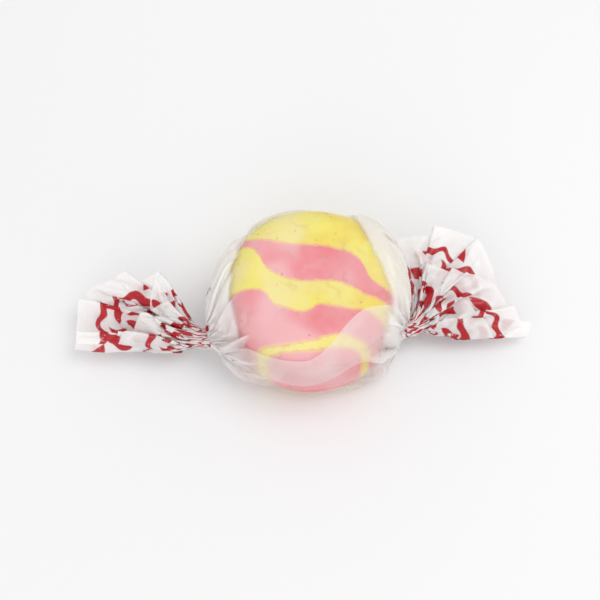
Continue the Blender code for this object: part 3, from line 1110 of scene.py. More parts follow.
def sheet_normals(points: np.ndarray) -> np.ndarray:
    """Return the unit normals of a grid of points, pointing away from the candy.

    Args:
        points: The sheet's points, ring by ring.

    Returns:
        One normal for each point.
    """
    down = np.gradient(points, axis=0)
    across = np.gradient(points, axis=1)
    normals = np.cross(across, down)
    normals /= np.linalg.norm(normals, axis=-1)[..., None] + TINY
    middle = points.shape[0] // 2
    centre = points[middle].mean(axis=0)
    outwards = (normals[middle] * (points[middle] - centre)).sum()
    return normals if outwards > 0.0 else -normals


def sharpness(points: np.ndarray) -> np.ndarray:
    """Return how sharply a sheet is folded at each of its points.

    Args:
        points: The sheet's points, ring by ring.

    Returns:
        0 where it is smooth, 1 at a crisp fold.
    """
    normals = sheet_normals(points)
    bend = np.zeros(points.shape[:2])
    for axis in (0, 1):
        turned = np.linalg.norm(np.gradient(normals, axis=axis), axis=-1)
        spacing = np.linalg.norm(np.gradient(points, axis=axis), axis=-1)
        bend = np.maximum(bend, turned / (spacing + WELD))
    return smooth_step(bend * MM, *SHARP_BENDS)


def finer(points: np.ndarray, axis: int) -> np.ndarray:
    """Double a grid's points along one axis, on smooth curves through the old ones.

    Args:
        points: The grid's points.
        axis: The axis that gets new points.

    Returns:
        The finer grid.
    """
    grid = np.moveaxis(points, axis, 0)
    before = np.concatenate((2 * grid[:1] - grid[1:2], grid[:-2]))
    after = np.concatenate((grid[2:], 2 * grid[-1:] - grid[-2:-1]))
    between = (9 * (grid[:-1] + grid[1:]) - before - after) / 16
    dense = np.empty((2 * len(grid) - 1, *grid.shape[1:]))
    dense[0::2] = grid
    dense[1::2] = between
    return np.moveaxis(dense, 0, axis)


class Field:
    """A number that varies over a surface: a node's output, with the sums that shaders need."""

    def __init__(self, tree: bpy.types.NodeTree, socket: bpy.types.NodeSocket) -> None:
        """Hold a socket of a node tree."""
        self.tree = tree
        self.socket = socket

    def sum_with(self, operation: str, *others: "Field | float") -> "Field":
        """Return this field put through a Math node.

        Args:
            operation: The Math node's operation.
            others: Its other inputs.

        Returns:
            The node's value.
        """
        node = self.tree.nodes.new("ShaderNodeMath")
        node.operation = operation
        for socket, value in zip(node.inputs, (self, *others)):
            if isinstance(value, Field):
                self.tree.links.new(value.socket, socket)
            else:
                socket.default_value = value
        return Field(self.tree, node.outputs[0])

    def __add__(self, other: "Field | float") -> "Field":
        """Return the sum."""
        return self.sum_with("ADD", other)

    def __sub__(self, other: "Field | float") -> "Field":
        """Return the difference."""
        return self.sum_with("SUBTRACT", other)

    def __mul__(self, other: "Field | float") -> "Field":
        """Return the product."""
        return self.sum_with("MULTIPLY", other)

    def __abs__(self) -> "Field":
        """Return the size."""
        return self.sum_with("ABSOLUTE")

    def least(self, other: "Field | float") -> "Field":
        """Return the lesser of two."""
        return self.sum_with("MINIMUM", other)

    def most(self, other: "Field | float") -> "Field":
        """Return the greater of two."""
        return self.sum_with("MAXIMUM", other)

    def between(self, low: float, high: float, start: float = 0.0, stop: float = 1.0) -> "Field":
        """Ease from start to stop as the field goes from low to high.

        Args:
            low: The value at which it starts to change.
            high: The value from which it stays.
            start: What it is at low and below.
            stop: What it is at high and above.

        Returns:
            The eased field.
        """
        node = self.tree.nodes.new("ShaderNodeMapRange")
        node.interpolation_type = "SMOOTHSTEP"
        self.tree.links.new(self.socket, node.inputs["Value"])
        node.inputs["From Min"].default_value = low
        node.inputs["From Max"].default_value = high
        node.inputs["To Min"].default_value = start
        node.inputs["To Max"].default_value = stop
        return Field(self.tree, node.outputs["Result"])


class ShaderDesk:
    """A material's node tree, with short ways to make the nodes that the finishes use."""

    def __init__(self, name: str) -> None:
        """Start a material with a Principled shader.

        Args:
            name: The material's name.
        """
        self.material = bpy.data.materials.new(name)
        self.material.use_nodes = True
        self.tree = self.material.node_tree
        self.shader = self.tree.nodes["Principled BSDF"]
        self.output = self.tree.nodes["Material Output"]
        self.places = self.tree.nodes.new("ShaderNodeTexCoord")

    def link(self, source: bpy.types.NodeSocket, target: bpy.types.NodeSocket) -> None:
        """Join two sockets."""
        self.tree.links.new(source, target)

    def axes(self, coordinate: str) -> tuple[Field, Field, Field]:
        """Return the three numbers of a coordinate, such as Object."""
        split = self.tree.nodes.new("ShaderNodeSeparateXYZ")
        self.link(self.places.outputs[coordinate], split.inputs[0])
        return tuple(Field(self.tree, socket) for socket in split.outputs)

    def attribute(self, name: str) -> Field:
        """Return a number kept on the mesh's points."""
        node = self.tree.nodes.new("ShaderNodeAttribute")
        node.attribute_name = name
        return Field(self.tree, node.outputs["Fac"])

    def noise(self, scale: float, detail: float = 2.0) -> Field:
        """Make uneven noise.

        Args:
            scale: How many features there are to a metre.
            detail: How many finer layers it has.

        Returns:
            The noise, about 0 to 1.
        """
        node = self.tree.nodes.new("ShaderNodeTexNoise")
        node.inputs["Scale"].default_value = scale
        node.inputs["Detail"].default_value = detail
        self.link(self.places.outputs["Object"], node.inputs["Vector"])
        return Field(self.tree, node.outputs["Fac"])

    def creases(self, scale: float, bending: float = 0.6) -> Field:
        """Measure from the edges of uneven facets.

        Args:
            scale: How many facets there are in a metre.
            bending: How far a slow noise bends the edges, in facets.

        Returns:
            The distance from the nearest edge.
        """
        bent = self.tree.nodes.new("ShaderNodeTexNoise")
        bent.inputs["Scale"].default_value = scale
        self.link(self.places.outputs["Object"], bent.inputs["Vector"])
        moved = self.tree.nodes.new("ShaderNodeVectorMath")
        moved.operation = "MULTIPLY_ADD"
        self.link(bent.outputs["Color"], moved.inputs[0])
        moved.inputs[1].default_value = (bending / scale,) * 3
        self.link(self.places.outputs["Object"], moved.inputs[2])
        node = self.tree.nodes.new("ShaderNodeTexVoronoi")
        node.feature = "DISTANCE_TO_EDGE"
        node.inputs["Scale"].default_value = scale
        self.link(moved.outputs[0], node.inputs["Vector"])
        return Field(self.tree, node.outputs["Distance"])

    def cells(self, scale: float) -> Field:
        """Scatter points, for specks.

        Args:
            scale: How many points there are to a metre.

        Returns:
            The distance from the nearest point, in spacings of the points.
        """
        node = self.tree.nodes.new("ShaderNodeTexVoronoi")
        node.inputs["Scale"].default_value = scale
        self.link(self.places.outputs["Object"], node.inputs["Vector"])
        return Field(self.tree, node.outputs["Distance"])

    def mixed(self, share: Field, first: Paint, second: Paint) -> Paint:
        """Mix two colours.

        Args:
            share: 0 for the first, 1 for the second.
            first: A colour or a colour socket.
            second: The same.

        Returns:
            The mixed colour's socket.
        """
        node = self.tree.nodes.new("ShaderNodeMix")
        node.data_type = "RGBA"
        self.link(share.socket, node.inputs[0])
        for value, socket in ((first, node.inputs[6]), (second, node.inputs[7])):
            if isinstance(value, bpy.types.NodeSocket):
                self.link(value, socket)
            else:
                socket.default_value = (*value, 1.0)
        return node.outputs[2]

    def joined(self, share: Field | float, first: bpy.types.NodeSocket,
               second: bpy.types.NodeSocket) -> bpy.types.NodeSocket:
        """Mix two shaders.

        Args:
            share: 0 for the first, 1 for the second.
            first: A shader's output.
            second: The same.

        Returns:
            The mixed shader's output.
        """
        node = self.tree.nodes.new("ShaderNodeMixShader")
        if isinstance(share, Field):
            self.link(share.socket, node.inputs[0])
        else:
            node.inputs[0].default_value = share
        self.link(first, node.inputs[1])
        self.link(second, node.inputs[2])
        return node.outputs[0]

    def bump(self, height: Field, strength: float, distance: float) -> None:
        """Give the shader a fine relief.

        Args:
            height: The relief, 0 to 1.
            strength: How much of it shows, 0 to 1.
            distance: How high it is at 1.
        """
        node = self.tree.nodes.new("ShaderNodeBump")
        node.inputs["Strength"].default_value = strength
        node.inputs["Distance"].default_value = distance
        self.link(height.socket, node.inputs["Height"])
        self.link(node.outputs[0], self.shader.inputs["Normal"])

    def curve(self, across: Field, points: list[tuple[float, float]]) -> Field:
        """Draw a curve through points and read it.

        Args:
            across: Where the curve is read, 0 to 1.
            points: Its points, both numbers 0 to 1.

        Returns:
            The curve's height there.
        """
        node = self.tree.nodes.new("ShaderNodeFloatCurve")
        line = node.mapping.curves[0]
        for place, height in points[1:-1]:
            line.points.new(place, height)
        for point, (place, height) in zip(line.points, points):
            point.location = (place, height)
        node.mapping.update()
        self.link(across.socket, node.inputs["Value"])
        return Field(self.tree, node.outputs[0])


@dataclass(frozen=True)
class RosePrint:
    """The print near the cut ends: a row of roses with leaves, over a winding vine. Sizes are in mm."""

    length: float
    width: float
    motifs_around: int = 7
    edge: float = 0.12
    rose_row: float = 7.6
    rose_radius: float = 3.9
    scallops: float = 7.0
    scallop_depth: float = 0.42
    rim: float = 0.62
    rim_swelling: float = 0.22
    rim_swellings: float = 2.0
    rim_turn: float = 0.7
    petals: float = 3.0
    petal_twist: float = 1.5
    petal_edge: Range = (0.0, 0.32)
    petal_tips: Range = (2.45, 2.75)
    heart: Range = (0.45, 0.75)
    vine_row: float = 12.4
    vine_swing: float = 1.5
    vine: float = 0.48
    vine_swelling: float = 0.2
    vine_turn: float = 1.0
    leaves: tuple[tuple[float, float, float], ...] = ((0.5, 3.6, 0.35), (0.25, 15.2, -0.5))
    leaf: float = 0.95
    leaf_taper: float = 0.20
    halves_meet: Range = (0.49, 0.51)

    def inked(self, past_edge: Field) -> Field:
        """Return 1 inside an edge and 0 past it."""
        return past_edge.between(-self.edge, self.edge, 1.0, 0.0)

    def rose(self, row: Field, cell: Field) -> Field:
        """Draw one rose.

        Args:
            row: Place along the sheet, from the rose's middle.
            cell: Place around the sheet, from the rose's middle.

        Returns:
            1 on its ink and 0 off it.
        """
        reach = (row * row + cell * cell).sum_with("SQRT")
        angle = row.sum_with("ARCTAN2", cell)
        scallop = (angle * self.scallops).sum_with("COSINE") * self.scallop_depth
        swelling = (angle * self.rim_swellings + self.rim_turn).sum_with("SINE") * self.rim_swelling
        rim = self.inked(abs(reach - self.rose_radius + scallop) - (swelling + self.rim))
        petals = (angle * self.petals + reach * self.petal_twist).sum_with("SINE")
        petals = petals.between(*self.petal_edge)
        inside = reach.between(*self.petal_tips, 1.0, 0.0) * reach.between(*self.heart)
        return rim.most(petals * inside)

    def ink(self, desk: ShaderDesk) -> Field:
        """Draw the print on the flat sheet.

        Args:
            desk: The material's node tree.

        Returns:
            1 on the ink and 0 off it.
        """
        u, v, _ = desk.axes("UV")
        along = abs(u * self.length - self.length / 2)
        pitch = self.width / self.motifs_around
        around = v * self.width + u.between(*self.halves_meet) * (pitch / 2)
        from_end = along * -1.0 + self.length / 2
        ink = self.rose(from_end - self.rose_row, around.sum_with("WRAP", pitch / 2, -pitch / 2))
        turn = around * (FULL_TURN / pitch)
        thickness = (turn + self.vine_turn).sum_with("SINE") * self.vine_swelling + self.vine
        vine = abs(from_end - self.vine_row - turn.sum_with("COSINE") * self.vine_swing) - thickness
        ink = ink.most(self.inked(vine))
        for shift, row, lean in self.leaves:
            side = (around + pitch * shift).sum_with("WRAP", pitch / 2, -pitch / 2)
            leaf = abs(from_end - row - side * lean) + side * side * self.leaf_taper - self.leaf
            ink = ink.most(self.inked(leaf))
        return ink


@dataclass(frozen=True)
class WaxedPaper:
    """Thin waxed paper: clear where it clings to candy, milky off it, with a red print near its ends.

    Gaps to the candy are in mm.
    """

    sheet_length: float
    sheet_width: float
    white: Colour = (0.97, 0.95, 0.94)
    white_at_folds: Colour = (0.98, 0.97, 0.965)
    # painted light: the paper is a little whiter where it lies on the candy, for the light the candy sends
    # back through it
    white_on_candy: Colour = (0.98, 0.965, 0.955)
    # painted shade: the colour that the dark side of each soft wrinkle is mixed towards
    shade_at_wrinkles: Colour = (0.55, 0.34, 0.31)
    red: Colour = (0.52, 0.0015, 0.013)
    clinging: float = 0.12
    half_clinging: float = 0.225
    most_clinging: float = 0.24
    doubled: float = 0.48
    near_milky: float = 0.88
    front_milky: float = 0.30
    far_milky: float = 0.76
    front: Range = (-0.0080, -0.0015)
    front_bow: float = 0.35
    lifting_gap: Range = (0.10, 0.64)
    lifted_gap: Range = (1.0, 3.6)
    white_gap: Range = (0.3, 1.6)
    patch_scale: float = 150.0
    patch_edge: Range = (0.36, 0.64)
    cloud_scale: float = 420.0
    cloud_share: float = 0.16
    fibre_scale: float = 2600.0
    fibre_share: float = 0.06
    wrinkle_scale: float = 210.0
    wrinkle_detail: float = 1.6
    wrinkle_offset: float = 0.026
    wrinkle_width: float = 0.040
    wrinkled_scale: float = 330.0
    wrinkled_edge: Range = (0.46, 0.64)
    # how much milkier the paper is along the wrinkles' painted highlight and painted shade lines
    wrinkle_milky: float = 0.10
    wrinkle_shade: float = 0.46
    unshaded_if_doubled: float = 0.75
    shaded_gap: Range = (0.1, 0.6)
    wrinkle_relief: float = 0.8
    fibre_relief: float = 0.2
    crease_scale: float = 130.0
    crease_width: Range = (0.0, 0.10)
    relief: float = 0.45
    relief_height: float = 0.00010
    fold_milky: float = 0.12
    fold_white: float = 0.7
    ink_opacity: float = 0.97
    ink_scale: float = 1500.0
    ink_wear: Range = (0.20, 0.36)
    lets_through: float = 0.26
    roughness: float = 0.30
    wax: float = 0.15
    wax_roughness: float = 0.18

    def wrinkles(self, desk: ShaderDesk) -> tuple[Field, Field]:
        """Make the soft wrinkles' painted highlight and painted shade lines, which also give their relief.

        Args:
            desk: The material's node tree.

        Returns:
            Their painted highlight lines, which also give the relief, and their painted shade lines, 0 to
            1.
        """
        waves = desk.noise(self.wrinkle_scale, self.wrinkle_detail) - 0.5
        somewhere = desk.noise(self.wrinkled_scale, 1.0).between(*self.wrinkled_edge)
        lit_ridges = abs(waves - self.wrinkle_offset).between(0.0, self.wrinkle_width, 1.0, 0.0)
        shaded = abs(waves + self.wrinkle_offset).between(0.0, self.wrinkle_width, 1.0, 0.0)
        return lit_ridges * somewhere, shaded * somewhere

    def cover(self, desk: ShaderDesk, fibres: Field, wrinkled: Field) -> Field:
        """Return how much the paper hides, by how far it stands off the candy.

        Args:
            desk: The material's node tree.
            fibres: Its fine grain.
            wrinkled: Where the wrinkles' painted highlight and painted shade lines run.

        Returns:
            0 where it is clear, 1 where it hides all.
        """
        gap = desk.attribute("gap")
        patches = desk.noise(self.patch_scale, 1.2).between(*self.patch_edge)
        cloud = desk.noise(self.cloud_scale, 3.0)
        touching = patches * (self.half_clinging - self.clinging) + self.clinging
        # the wrinkles' painted highlight and painted shade lines make the clinging paper milkier, so that
        # they show
        touching = (touching + wrinkled * self.wrinkle_milky).least(self.most_clinging)
        touching = touching.most(desk.attribute("doubled") * self.doubled)
        lifted = (gap + (cloud - 0.5) * self.cloud_share).between(*self.lifting_gap)
        x, y, _ = desk.axes("Object")
        near = (y + abs(x) * self.front_bow).between(*self.front, self.front_milky, self.near_milky)
        off_candy = gap.between(*self.lifted_gap) * (near * -1.0 + self.far_milky) + near
        off_candy = off_candy + desk.attribute("fold") * self.fold_milky
        return lifted * (off_candy - touching + (fibres - 0.5) * self.fibre_share) + touching

    def tint(self, desk: ShaderDesk, shaded: Field, ink: Field) -> Paint:
        """Return the paper's colour, with painted shade along its wrinkles, whiter folds and print.

        Args:
            desk: The material's node tree.
            shaded: Where the painted shade lines beside the wrinkles run.
            ink: Where the print is.

        Returns:
            The colour's socket.
        """
        gap = desk.attribute("gap")
        # painted light: whiter where the paper lies on the candy, for the light the candy sends back
        # through it
        white = desk.mixed(gap.between(*self.white_gap), self.white_on_candy, self.white)
        # painted shade: the wrinkles' dark sides are darkened in colour, less where the paper stands off
        # the candy or lies doubled
        shade = shaded * gap.between(*self.shaded_gap, self.wrinkle_shade, 0.0)
        shade = shade * (desk.attribute("doubled") * -self.unshaded_if_doubled + 1.0)
        white = desk.mixed(shade, white, self.shade_at_wrinkles)
        white = desk.mixed(desk.attribute("fold") * self.fold_white, white, self.white_at_folds)
        return desk.mixed(ink, white, self.red)

    def build(self) -> bpy.types.Material:
        """Return the paper's material."""
        desk = ShaderDesk("waxed_paper")
        shader = desk.shader
        fibres = desk.noise(self.fibre_scale)
        lit_ridges, shaded = self.wrinkles(desk)
        ink = RosePrint(self.sheet_length / MM, self.sheet_width / MM).ink(desk)
        ink = ink * desk.noise(self.ink_scale).between(*self.ink_wear)
        # the ridges are a painted highlight in the cover and a real relief in the bump below
        alpha = self.cover(desk, fibres, lit_ridges + shaded).most(ink * self.ink_opacity)
        colour = self.tint(desk, shaded, ink)
        desk.link(colour, shader.inputs["Base Color"])
        shader.inputs["Roughness"].default_value = self.roughness
        shader.inputs["Coat Weight"].default_value = self.wax
        shader.inputs["Coat Roughness"].default_value = self.wax_roughness
        creases = desk.creases(self.crease_scale).between(*self.crease_width)
        height = fibres * self.fibre_relief + creases + lit_ridges * self.wrinkle_relief
        desk.bump(height, self.relief, self.relief_height)
        through = desk.tree.nodes.new("ShaderNodeBsdfTranslucent")
        desk.link(colour, through.inputs["Color"])
        body = desk.joined(self.lets_through, shader.outputs[0], through.outputs[0])
        clear = desk.tree.nodes.new("ShaderNodeBsdfTransparent")
        surface = desk.joined(alpha, clear.outputs[0], body)
        desk.link(surface, desk.output.inputs["Surface"])
        return desk.material


STRIPE_EDGES_MM: tuple[Edge, ...] = (
    ((-13.8, 8.4), (-11.9, 7.9), (-9.3, 6.9), (-7.1, 6.3), (-2.8, 5.6), (1.5, 5.3), (3.9, 4.7), (6.3, 3.7),
     (7.5, 2.2), (8.7, -0.2), (10.4, -1.3), (13.8, -2.7)),
    ((-13.8, 6.3), (-9.6, 5.3), (-8.3, 3.8), (-7.2, 1.8), (-5.2, 0.4), (-1.8, -0.6), (1.5, -0.5),
     (3.9, -0.8), (6.3, -1.9), (7.8, -2.9), (10.1, -3.5), (13.8, -4.6)),
    ((-13.8, -1.8), (-11.0, -1.9), (-8.5, -2.0), (-7.1, -2.7), (-6.2, -4.0), (-3.8, -5.1), (-1.8, -5.6),
     (-0.2, -5.1), (0.8, -4.5), (2.7, -4.7), (5.1, -5.1), (8.6, -5.7), (10.9, -7.1), (13.8, -9.6)),
    ((-13.8, -9.8), (-9.0, -10.4), (-4.5, -10.6), (-0.5, -10.2), (2.0, -9.6), (4.0, -9.2), (6.5, -9.6),
     (13.8, -12.0)),
    ((-13.8, -11.6), (-9.0, -11.8), (-4.5, -11.6), (0.0, -11.5), (3.0, -11.0), (6.5, -10.9),
     (13.8, -13.0)),
)


@dataclass(frozen=True)
class Shades:
    """One flavour's own colour, and its deeper and paler streaks."""

    own: Colour
    deep: Colour
    pale: Colour


SHADES = {
    Flavour.YELLOW: Shades((0.84, 0.74, 0.072), (0.80, 0.60, 0.030), (0.84, 0.73, 0.21)),
    Flavour.PINK: Shades((0.80, 0.215, 0.248), (0.77, 0.155, 0.185), (0.83, 0.395, 0.415)),
}


@dataclass(frozen=True)
class PulledCandy:
    """Pulled sugar candy: satin, with small specks, its colour bleeding into the next band's.

    The bleed, the wander, the fray and the half span are in mm.
    """

    flavour: Flavour
    bleed: float = 0.32
    wander_scale: float = 900.0
    wander: float = 0.5
    fray_scale: float = 3200.0
    fray: float = 0.45
    deep_scale: float = 260.0
    deep_edge: Range = (0.35, 0.75)
    deeper_to_the_right: float = 0.28
    pale_scale: float = 120.0
    pale_edge: Range = (0.46, 0.68)
    paler_to_the_left: float = 0.26
    speck_scale: float = 640.0
    speck_size: Range = (0.08, 0.14)
    speckled_scale: float = 260.0
    speckled_edge: Range = (0.46, 0.56)
    speck_share: float = 0.55
    speck_dark: float = 0.62
    half_span: float = 13.8
    roughness: float = 0.55
    grain_scale: float = 700.0
    grain: float = 0.15
    grain_height: float = 0.0001

    def across(self, desk: ShaderDesk) -> Field:
        """Return how far to the right a place lies, 0 to 1."""
        return desk.axes("Object")[0] * (1 / MM / (2 * self.half_span)) + 0.5

    def beside_edges(self, desk: ShaderDesk, edges: list[Edge]) -> Field:
        """Return how much of the next band's colour there is, half at an edge and none past the bleed.

        Args:
            desk: The material's node tree.
            edges: The band's own edges, in millimetres, that other bands meet.

        Returns:
            The share of the other colour.
        """
        across = self.across(desk)
        fray = (desk.noise(self.fray_scale, 1.0) - 0.5) * self.fray
        wander = (desk.noise(self.wander_scale) - 0.5) * self.wander
        deep = desk.axes("Object")[1] * (1 / MM) + (wander + fray)
        near = None
        for edge in edges:
            points = [(x_mm / (2 * self.half_span) + 0.5, y_mm / (2 * self.half_span) + 0.5)
                      for x_mm, y_mm in edge]
            line = (desk.curve(across, points) - 0.5) * (2 * self.half_span)
            share = abs(deep - line).between(0.0, self.bleed, 0.5, 0.0)
            near = share if near is None else near.most(share)
        return near

    def streaked(self, desk: ShaderDesk) -> Paint:
        """Make the band's own colour, deeper to the right and paler to the left.

        Args:
            desk: The material's node tree.

        Returns:
            The colour's socket.
        """
        shades = SHADES[self.flavour]
        across = self.across(desk)
        deeper = desk.noise(self.deep_scale, 3.0) + across * self.deeper_to_the_right
        deeper = deeper - self.deeper_to_the_right / 2
        paler = desk.noise(self.pale_scale, 1.5) - across * self.paler_to_the_left
        paler = paler + self.paler_to_the_left / 2
        own = desk.mixed(deeper.between(*self.deep_edge), shades.own, shades.deep)
        return desk.mixed(paler.between(*self.pale_edge), own, shades.pale)

    def build(self, edges: list[Edge]) -> bpy.types.Material:
        """Make the finish of one band.

        Args:
            edges: The band's own edges, in millimetres, that other bands meet.

        Returns:
            The material.
        """
        desk = ShaderDesk(self.flavour.value)
        other = Flavour.PINK if self.flavour is Flavour.YELLOW else Flavour.YELLOW
        colour = desk.mixed(self.beside_edges(desk, edges), self.streaked(desk), SHADES[other].own)
        speckled = desk.noise(self.speckled_scale).between(*self.speckled_edge)
        speck = desk.cells(self.speck_scale).between(*self.speck_size, 1.0, 0.0) * speckled
        dark = tuple(self.speck_dark * part for part in SHADES[Flavour.PINK].deep)
        colour = desk.mixed(speck * self.speck_share, colour, dark)
        desk.link(colour, desk.shader.inputs["Base Color"])
        desk.shader.inputs["Roughness"].default_value = self.roughness
        desk.bump(desk.noise(self.grain_scale, 3.0), self.grain, self.grain_height)
        return desk.material


@dataclass(frozen=True)
class CandyBand:
    """One band of the candy, cut from the disc along its two edges."""

    node: str
    flavour: Flavour
    upper: int | None
    lower: int | None
    samples: int = 6
    past_disc: float = 0.017
    sharp_from: float = 35.0

    def line(self, index: int | None, beyond: float) -> np.ndarray:
        """Return one edge as a smooth line, or a straight one past the disc where there is none.

        Args:
            index: Which of the edges, if any.
            beyond: The straight line's y.

        Returns:
            The line's points, x and y.
        """
        if index is None:
            return np.array(((-self.past_disc, beyond), (self.past_disc, beyond)))
        points = np.array(STRIPE_EDGES_MM[index]) * MM
        ends = [2 * points[0] - points[1], *points, 2 * points[-1] - points[-2]]
        line = []
        for first, second, third, fourth in zip(ends, ends[1:], ends[2:], ends[3:]):
            for step in range(self.samples):
                share = step / self.samples
                line.append(0.5 * (2 * second + (third - first) * share
                                   + (2 * first - 5 * second + 4 * third - fourth) * share ** 2
                                   + (3 * second - first - 3 * third + fourth) * share ** 3))
        line.append(points[-1])
        return np.array(line)

    def cutter(self, disc: CandyDisc) -> bpy.types.Object:
        """Make the tall prism that the disc is cut with.

        Args:
            disc: The candy disc.

        Returns:
            The cutter's object.
        """
        outline = np.concatenate((self.line(self.upper, self.past_disc),
                                  self.line(self.lower, -self.past_disc)[::-1]))
        prism = bmesh.new()
        corners = [prism.verts.new((x, y, disc.bottom - MM)) for x, y in outline]
        floor = prism.faces.new(corners)
        lifted = bmesh.ops.extrude_face_region(prism, geom=[floor])
        moved = [item for item in lifted["geom"] if isinstance(item, bmesh.types.BMVert)]
        bmesh.ops.translate(prism, verts=moved, vec=(0.0, 0.0, disc.top - disc.bottom + 2 * MM))
        bmesh.ops.recalc_face_normals(prism, faces=prism.faces)
        return placed("cutter", mesh_from(prism, "cutter"))

    def build(self, disc: CandyDisc, whole: bpy.types.Mesh) -> bpy.types.Object:
        """Cut the band out of the whole disc.

        Args:
            disc: The candy disc.
            whole: The whole disc's mesh.

        Returns:
            The band's object.
        """
        cutter = self.cutter(disc)
        rough = placed(self.node + "_rough", whole.copy())
        cut = rough.modifiers.new("band", "BOOLEAN")
        cut.operation = "INTERSECT"
        cut.solver = "EXACT"
        cut.object = cutter
        mesh = bpy.data.meshes.new_from_object(rough.evaluated_get(bpy.context.evaluated_depsgraph_get()))
        mesh.name = self.node + "_fine"
        for spare in (rough, cutter):
            bpy.data.objects.remove(spare, do_unlink=True)
        mesh.shade_smooth()
        mesh.set_sharp_from_angle(angle=math.radians(self.sharp_from))
        edges = [STRIPE_EDGES_MM[index] for index in (self.upper, self.lower) if index is not None]
        mesh.materials.clear()
        mesh.materials.append(PulledCandy(self.flavour).build(edges))
        return placed(mesh.name, mesh)


BANDS = (
    CandyBand("candy_yellow_1", Flavour.YELLOW, None, 0),
    CandyBand("candy_pink_1", Flavour.PINK, 0, 1),
    CandyBand("candy_yellow_2", Flavour.YELLOW, 1, 2),
    CandyBand("candy_pink_2", Flavour.PINK, 2, 3),
    CandyBand("candy_yellow_3", Flavour.YELLOW, 3, 4),
    CandyBand("candy_pink_3", Flavour.PINK, 4, None),
)


@dataclass
class Candy:
    """The whole candy: a turned disc, made a little uneven, and its bands."""

    disc: CandyDisc
    steps: int = 128
    face_rings: int = 16
    edge_steps: int = 12
    wall_rings: int = 8

    def profile(self) -> list[tuple[float, float]]:
        """Return the disc's outer side as (radius, height) points, from top middle to bottom middle."""
        disc = self.disc
        rounding = disc.edge_radius + disc.grown
        inner = disc.radius + disc.grown - rounding
        face = [inner * ring / self.face_rings for ring in range(self.face_rings)]
        upper = [(radius, disc.top) for radius in face]
        for step in range(self.edge_steps + 1):
            turn = math.pi / 2 * (1.0 - step / self.edge_steps)
            radius = inner + rounding * math.cos(turn)
            upper.append((radius, disc.top - rounding + rounding * math.sin(turn)))
        total = disc.top + disc.bottom
        lower = [(radius, total - height) for radius, height in reversed(upper)]
        wall_top = disc.top - rounding
        drop = wall_top - (disc.bottom + rounding)
        wall = [(disc.radius + disc.grown, wall_top - drop * ring / self.wall_rings)
                for ring in range(1, self.wall_rings)]
        return upper + wall + lower

    def whole(self) -> bpy.types.Mesh:
        """Return the whole disc's mesh, turned from its profile and made uneven."""
        disc = self.disc
        turned = bmesh.new()
        points = [turned.verts.new((radius, 0.0, height)) for radius, height in self.profile()]
        edges = [turned.edges.new(pair) for pair in zip(points, points[1:])]
        bmesh.ops.spin(turned, geom=points + edges, cent=(0.0, 0.0, 0.0), axis=(0.0, 0.0, 1.0),
                       angle=FULL_TURN, steps=self.steps, use_merge=True, use_duplicate=False)
        bmesh.ops.remove_doubles(turned, verts=turned.verts, dist=WELD)
        bmesh.ops.recalc_face_normals(turned, faces=turned.faces)
        places = np.array([vertex.co[:] for vertex in turned.verts])
        angles = np.arctan2(places[:, 1], places[:, 0])
        factor = disc.lobed_radius(angles) / (disc.radius + disc.grown)
        places[:, :2] *= factor[:, None]
        outward = disc.outward(places)[1]
        places -= outward * disc.sunk(places)[:, None]
        for vertex, place in zip(turned.verts, places):
            vertex.co = place
        return mesh_from(turned, "whole_candy")

    def build(self) -> None:
        """Build each band, let it stand for its solid and ride on the body."""
        whole = self.whole()
        for band in BANDS:
            piece = band.build(self.disc, whole)
            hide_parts(band.node)
            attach(piece, BODY)
            LOG.info("%s: %d faces", piece.name, len(piece.data.polygons))
        bpy.data.meshes.remove(whole)


@dataclass(frozen=True)
class Lamp:
    """One soft square light."""

    name: str
    place: Place
    size: float
    power: float


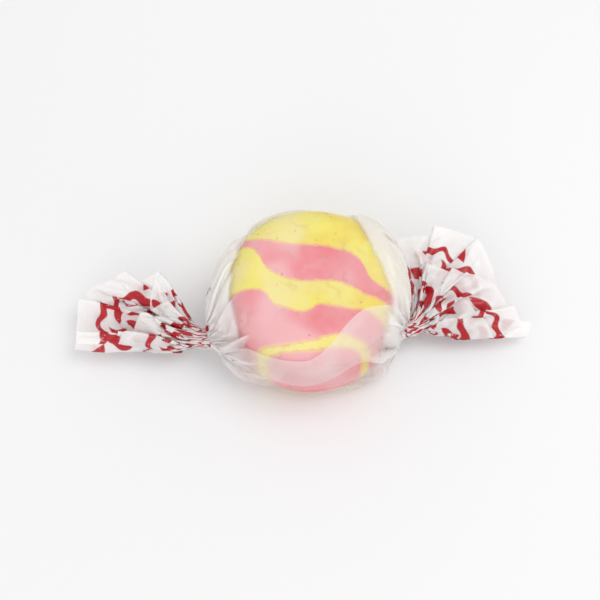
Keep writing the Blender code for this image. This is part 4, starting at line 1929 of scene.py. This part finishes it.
@dataclass(frozen=True)
class Studio:
    """A pale floor, soft light from above and the camera at the photograph's angle."""

    target: Place = (-0.0020, 0.0010, 0.0070)
    elevation: float = 65.0
    distance: float = 0.222
    lens: float = 85.0
    nearest_seen: float = 0.01
    floor_half: float = 1.5
    floor_colour: Colour = (0.86, 0.86, 0.87)
    floor_shade: float = 0.98
    floor_roughness: float = 0.7
    cloud_scale: float = 6.0
    cloud_edge: Range = (0.3, 0.7)
    lamps: tuple[Lamp, ...] = (
        Lamp("key", place=(0.20, 0.00, 0.52), size=0.30, power=0.84),
        Lamp("fill", place=(-0.06, -0.50, 0.34), size=0.50, power=0.60),
    )
    sky: float = 0.80
    layers_seen_through: int = 24

    def place_camera(self) -> None:
        """Put the camera in front of the object, looking down on it."""
        lens = bpy.data.cameras.new("camera")
        lens.lens = self.lens
        lens.clip_start = self.nearest_seen
        camera = placed("camera", lens)
        rise = math.radians(self.elevation)
        back = Vector((0.0, -math.cos(rise), math.sin(rise)))
        camera.location = Vector(self.target) + back * self.distance
        camera.rotation_euler = back.to_track_quat("Z", "Y").to_euler()
        bpy.context.scene.camera = camera

    def lay_floor(self) -> None:
        """Make the floor, which isn't part of the object."""
        plane = bmesh.new()
        bmesh.ops.create_grid(plane, x_segments=2, y_segments=2, size=self.floor_half)
        floor = placed("floor", mesh_from(plane, "floor"))
        desk = ShaderDesk("pale_floor")
        cloud = desk.noise(self.cloud_scale).between(*self.cloud_edge)
        shade = tuple(self.floor_shade * part for part in self.floor_colour)
        desk.link(desk.mixed(cloud, self.floor_colour, shade), desk.shader.inputs["Base Color"])
        desk.shader.inputs["Roughness"].default_value = self.floor_roughness
        floor.data.materials.append(desk.material)

    def hang(self, lamp: Lamp) -> None:
        """Hang one soft square light that faces the object.

        Args:
            lamp: Its name, place, size and power.
        """
        glow = bpy.data.lights.new(lamp.name, "AREA")
        glow.size = lamp.size
        glow.energy = lamp.power
        light = placed(lamp.name, glow)
        light.location = lamp.place
        away = Vector(lamp.place) - Vector(self.target)
        light.rotation_euler = away.to_track_quat("Z", "Y").to_euler()

    def build(self) -> None:
        """Set up the floor, the lights and the camera."""
        self.lay_floor()
        self.place_camera()
        for lamp in self.lamps:
            self.hang(lamp)
        world = bpy.data.worlds.new("soft sky")
        world.use_nodes = True
        background = world.node_tree.nodes["Background"]
        background.inputs["Color"].default_value = (1.0, 1.0, 1.0, 1.0)
        background.inputs["Strength"].default_value = self.sky
        bpy.context.scene.world = world
        bpy.context.scene.view_settings.view_transform = "Standard"
        bpy.context.scene.cycles.transparent_max_bounces = self.layers_seen_through


def main() -> None:
    """Build the candy, its paper and the studio."""
    logging.basicConfig(level=logging.INFO, format="%(message)s")
    disc = CandyDisc()
    Candy(disc).build()
    left = Tail(End.LEFT, neck=(-0.0156, -0.0048, 0.0050), heading=11.5, rise=5.0, roll=14.0, spread=58.0,
                length=0.0178, pleats=3.0, folded_under=0.27, pleat_angle=4.5, puff=4.5, seed=3)
    right = Tail(End.RIGHT, neck=(0.0144, -0.0030, 0.0050), heading=45.0, rise=8.0, roll=14.0, spread=110.0,
                 length=0.0164, pleats=3.4, folded_under=0.14, pleat_angle=4.5, puff=4.0, seed=8)
    wrap = PaperWrap(disc, left, right)
    paper = wrap.build(WaxedPaper(sheet_length=wrap.length, sheet_width=0.0885))
    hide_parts("wrapper")
    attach(paper, BODY)
    LOG.info("%s: %d faces", paper.name, len(paper.data.polygons))
    Studio().build()


if __name__ == "__main__":
    main()
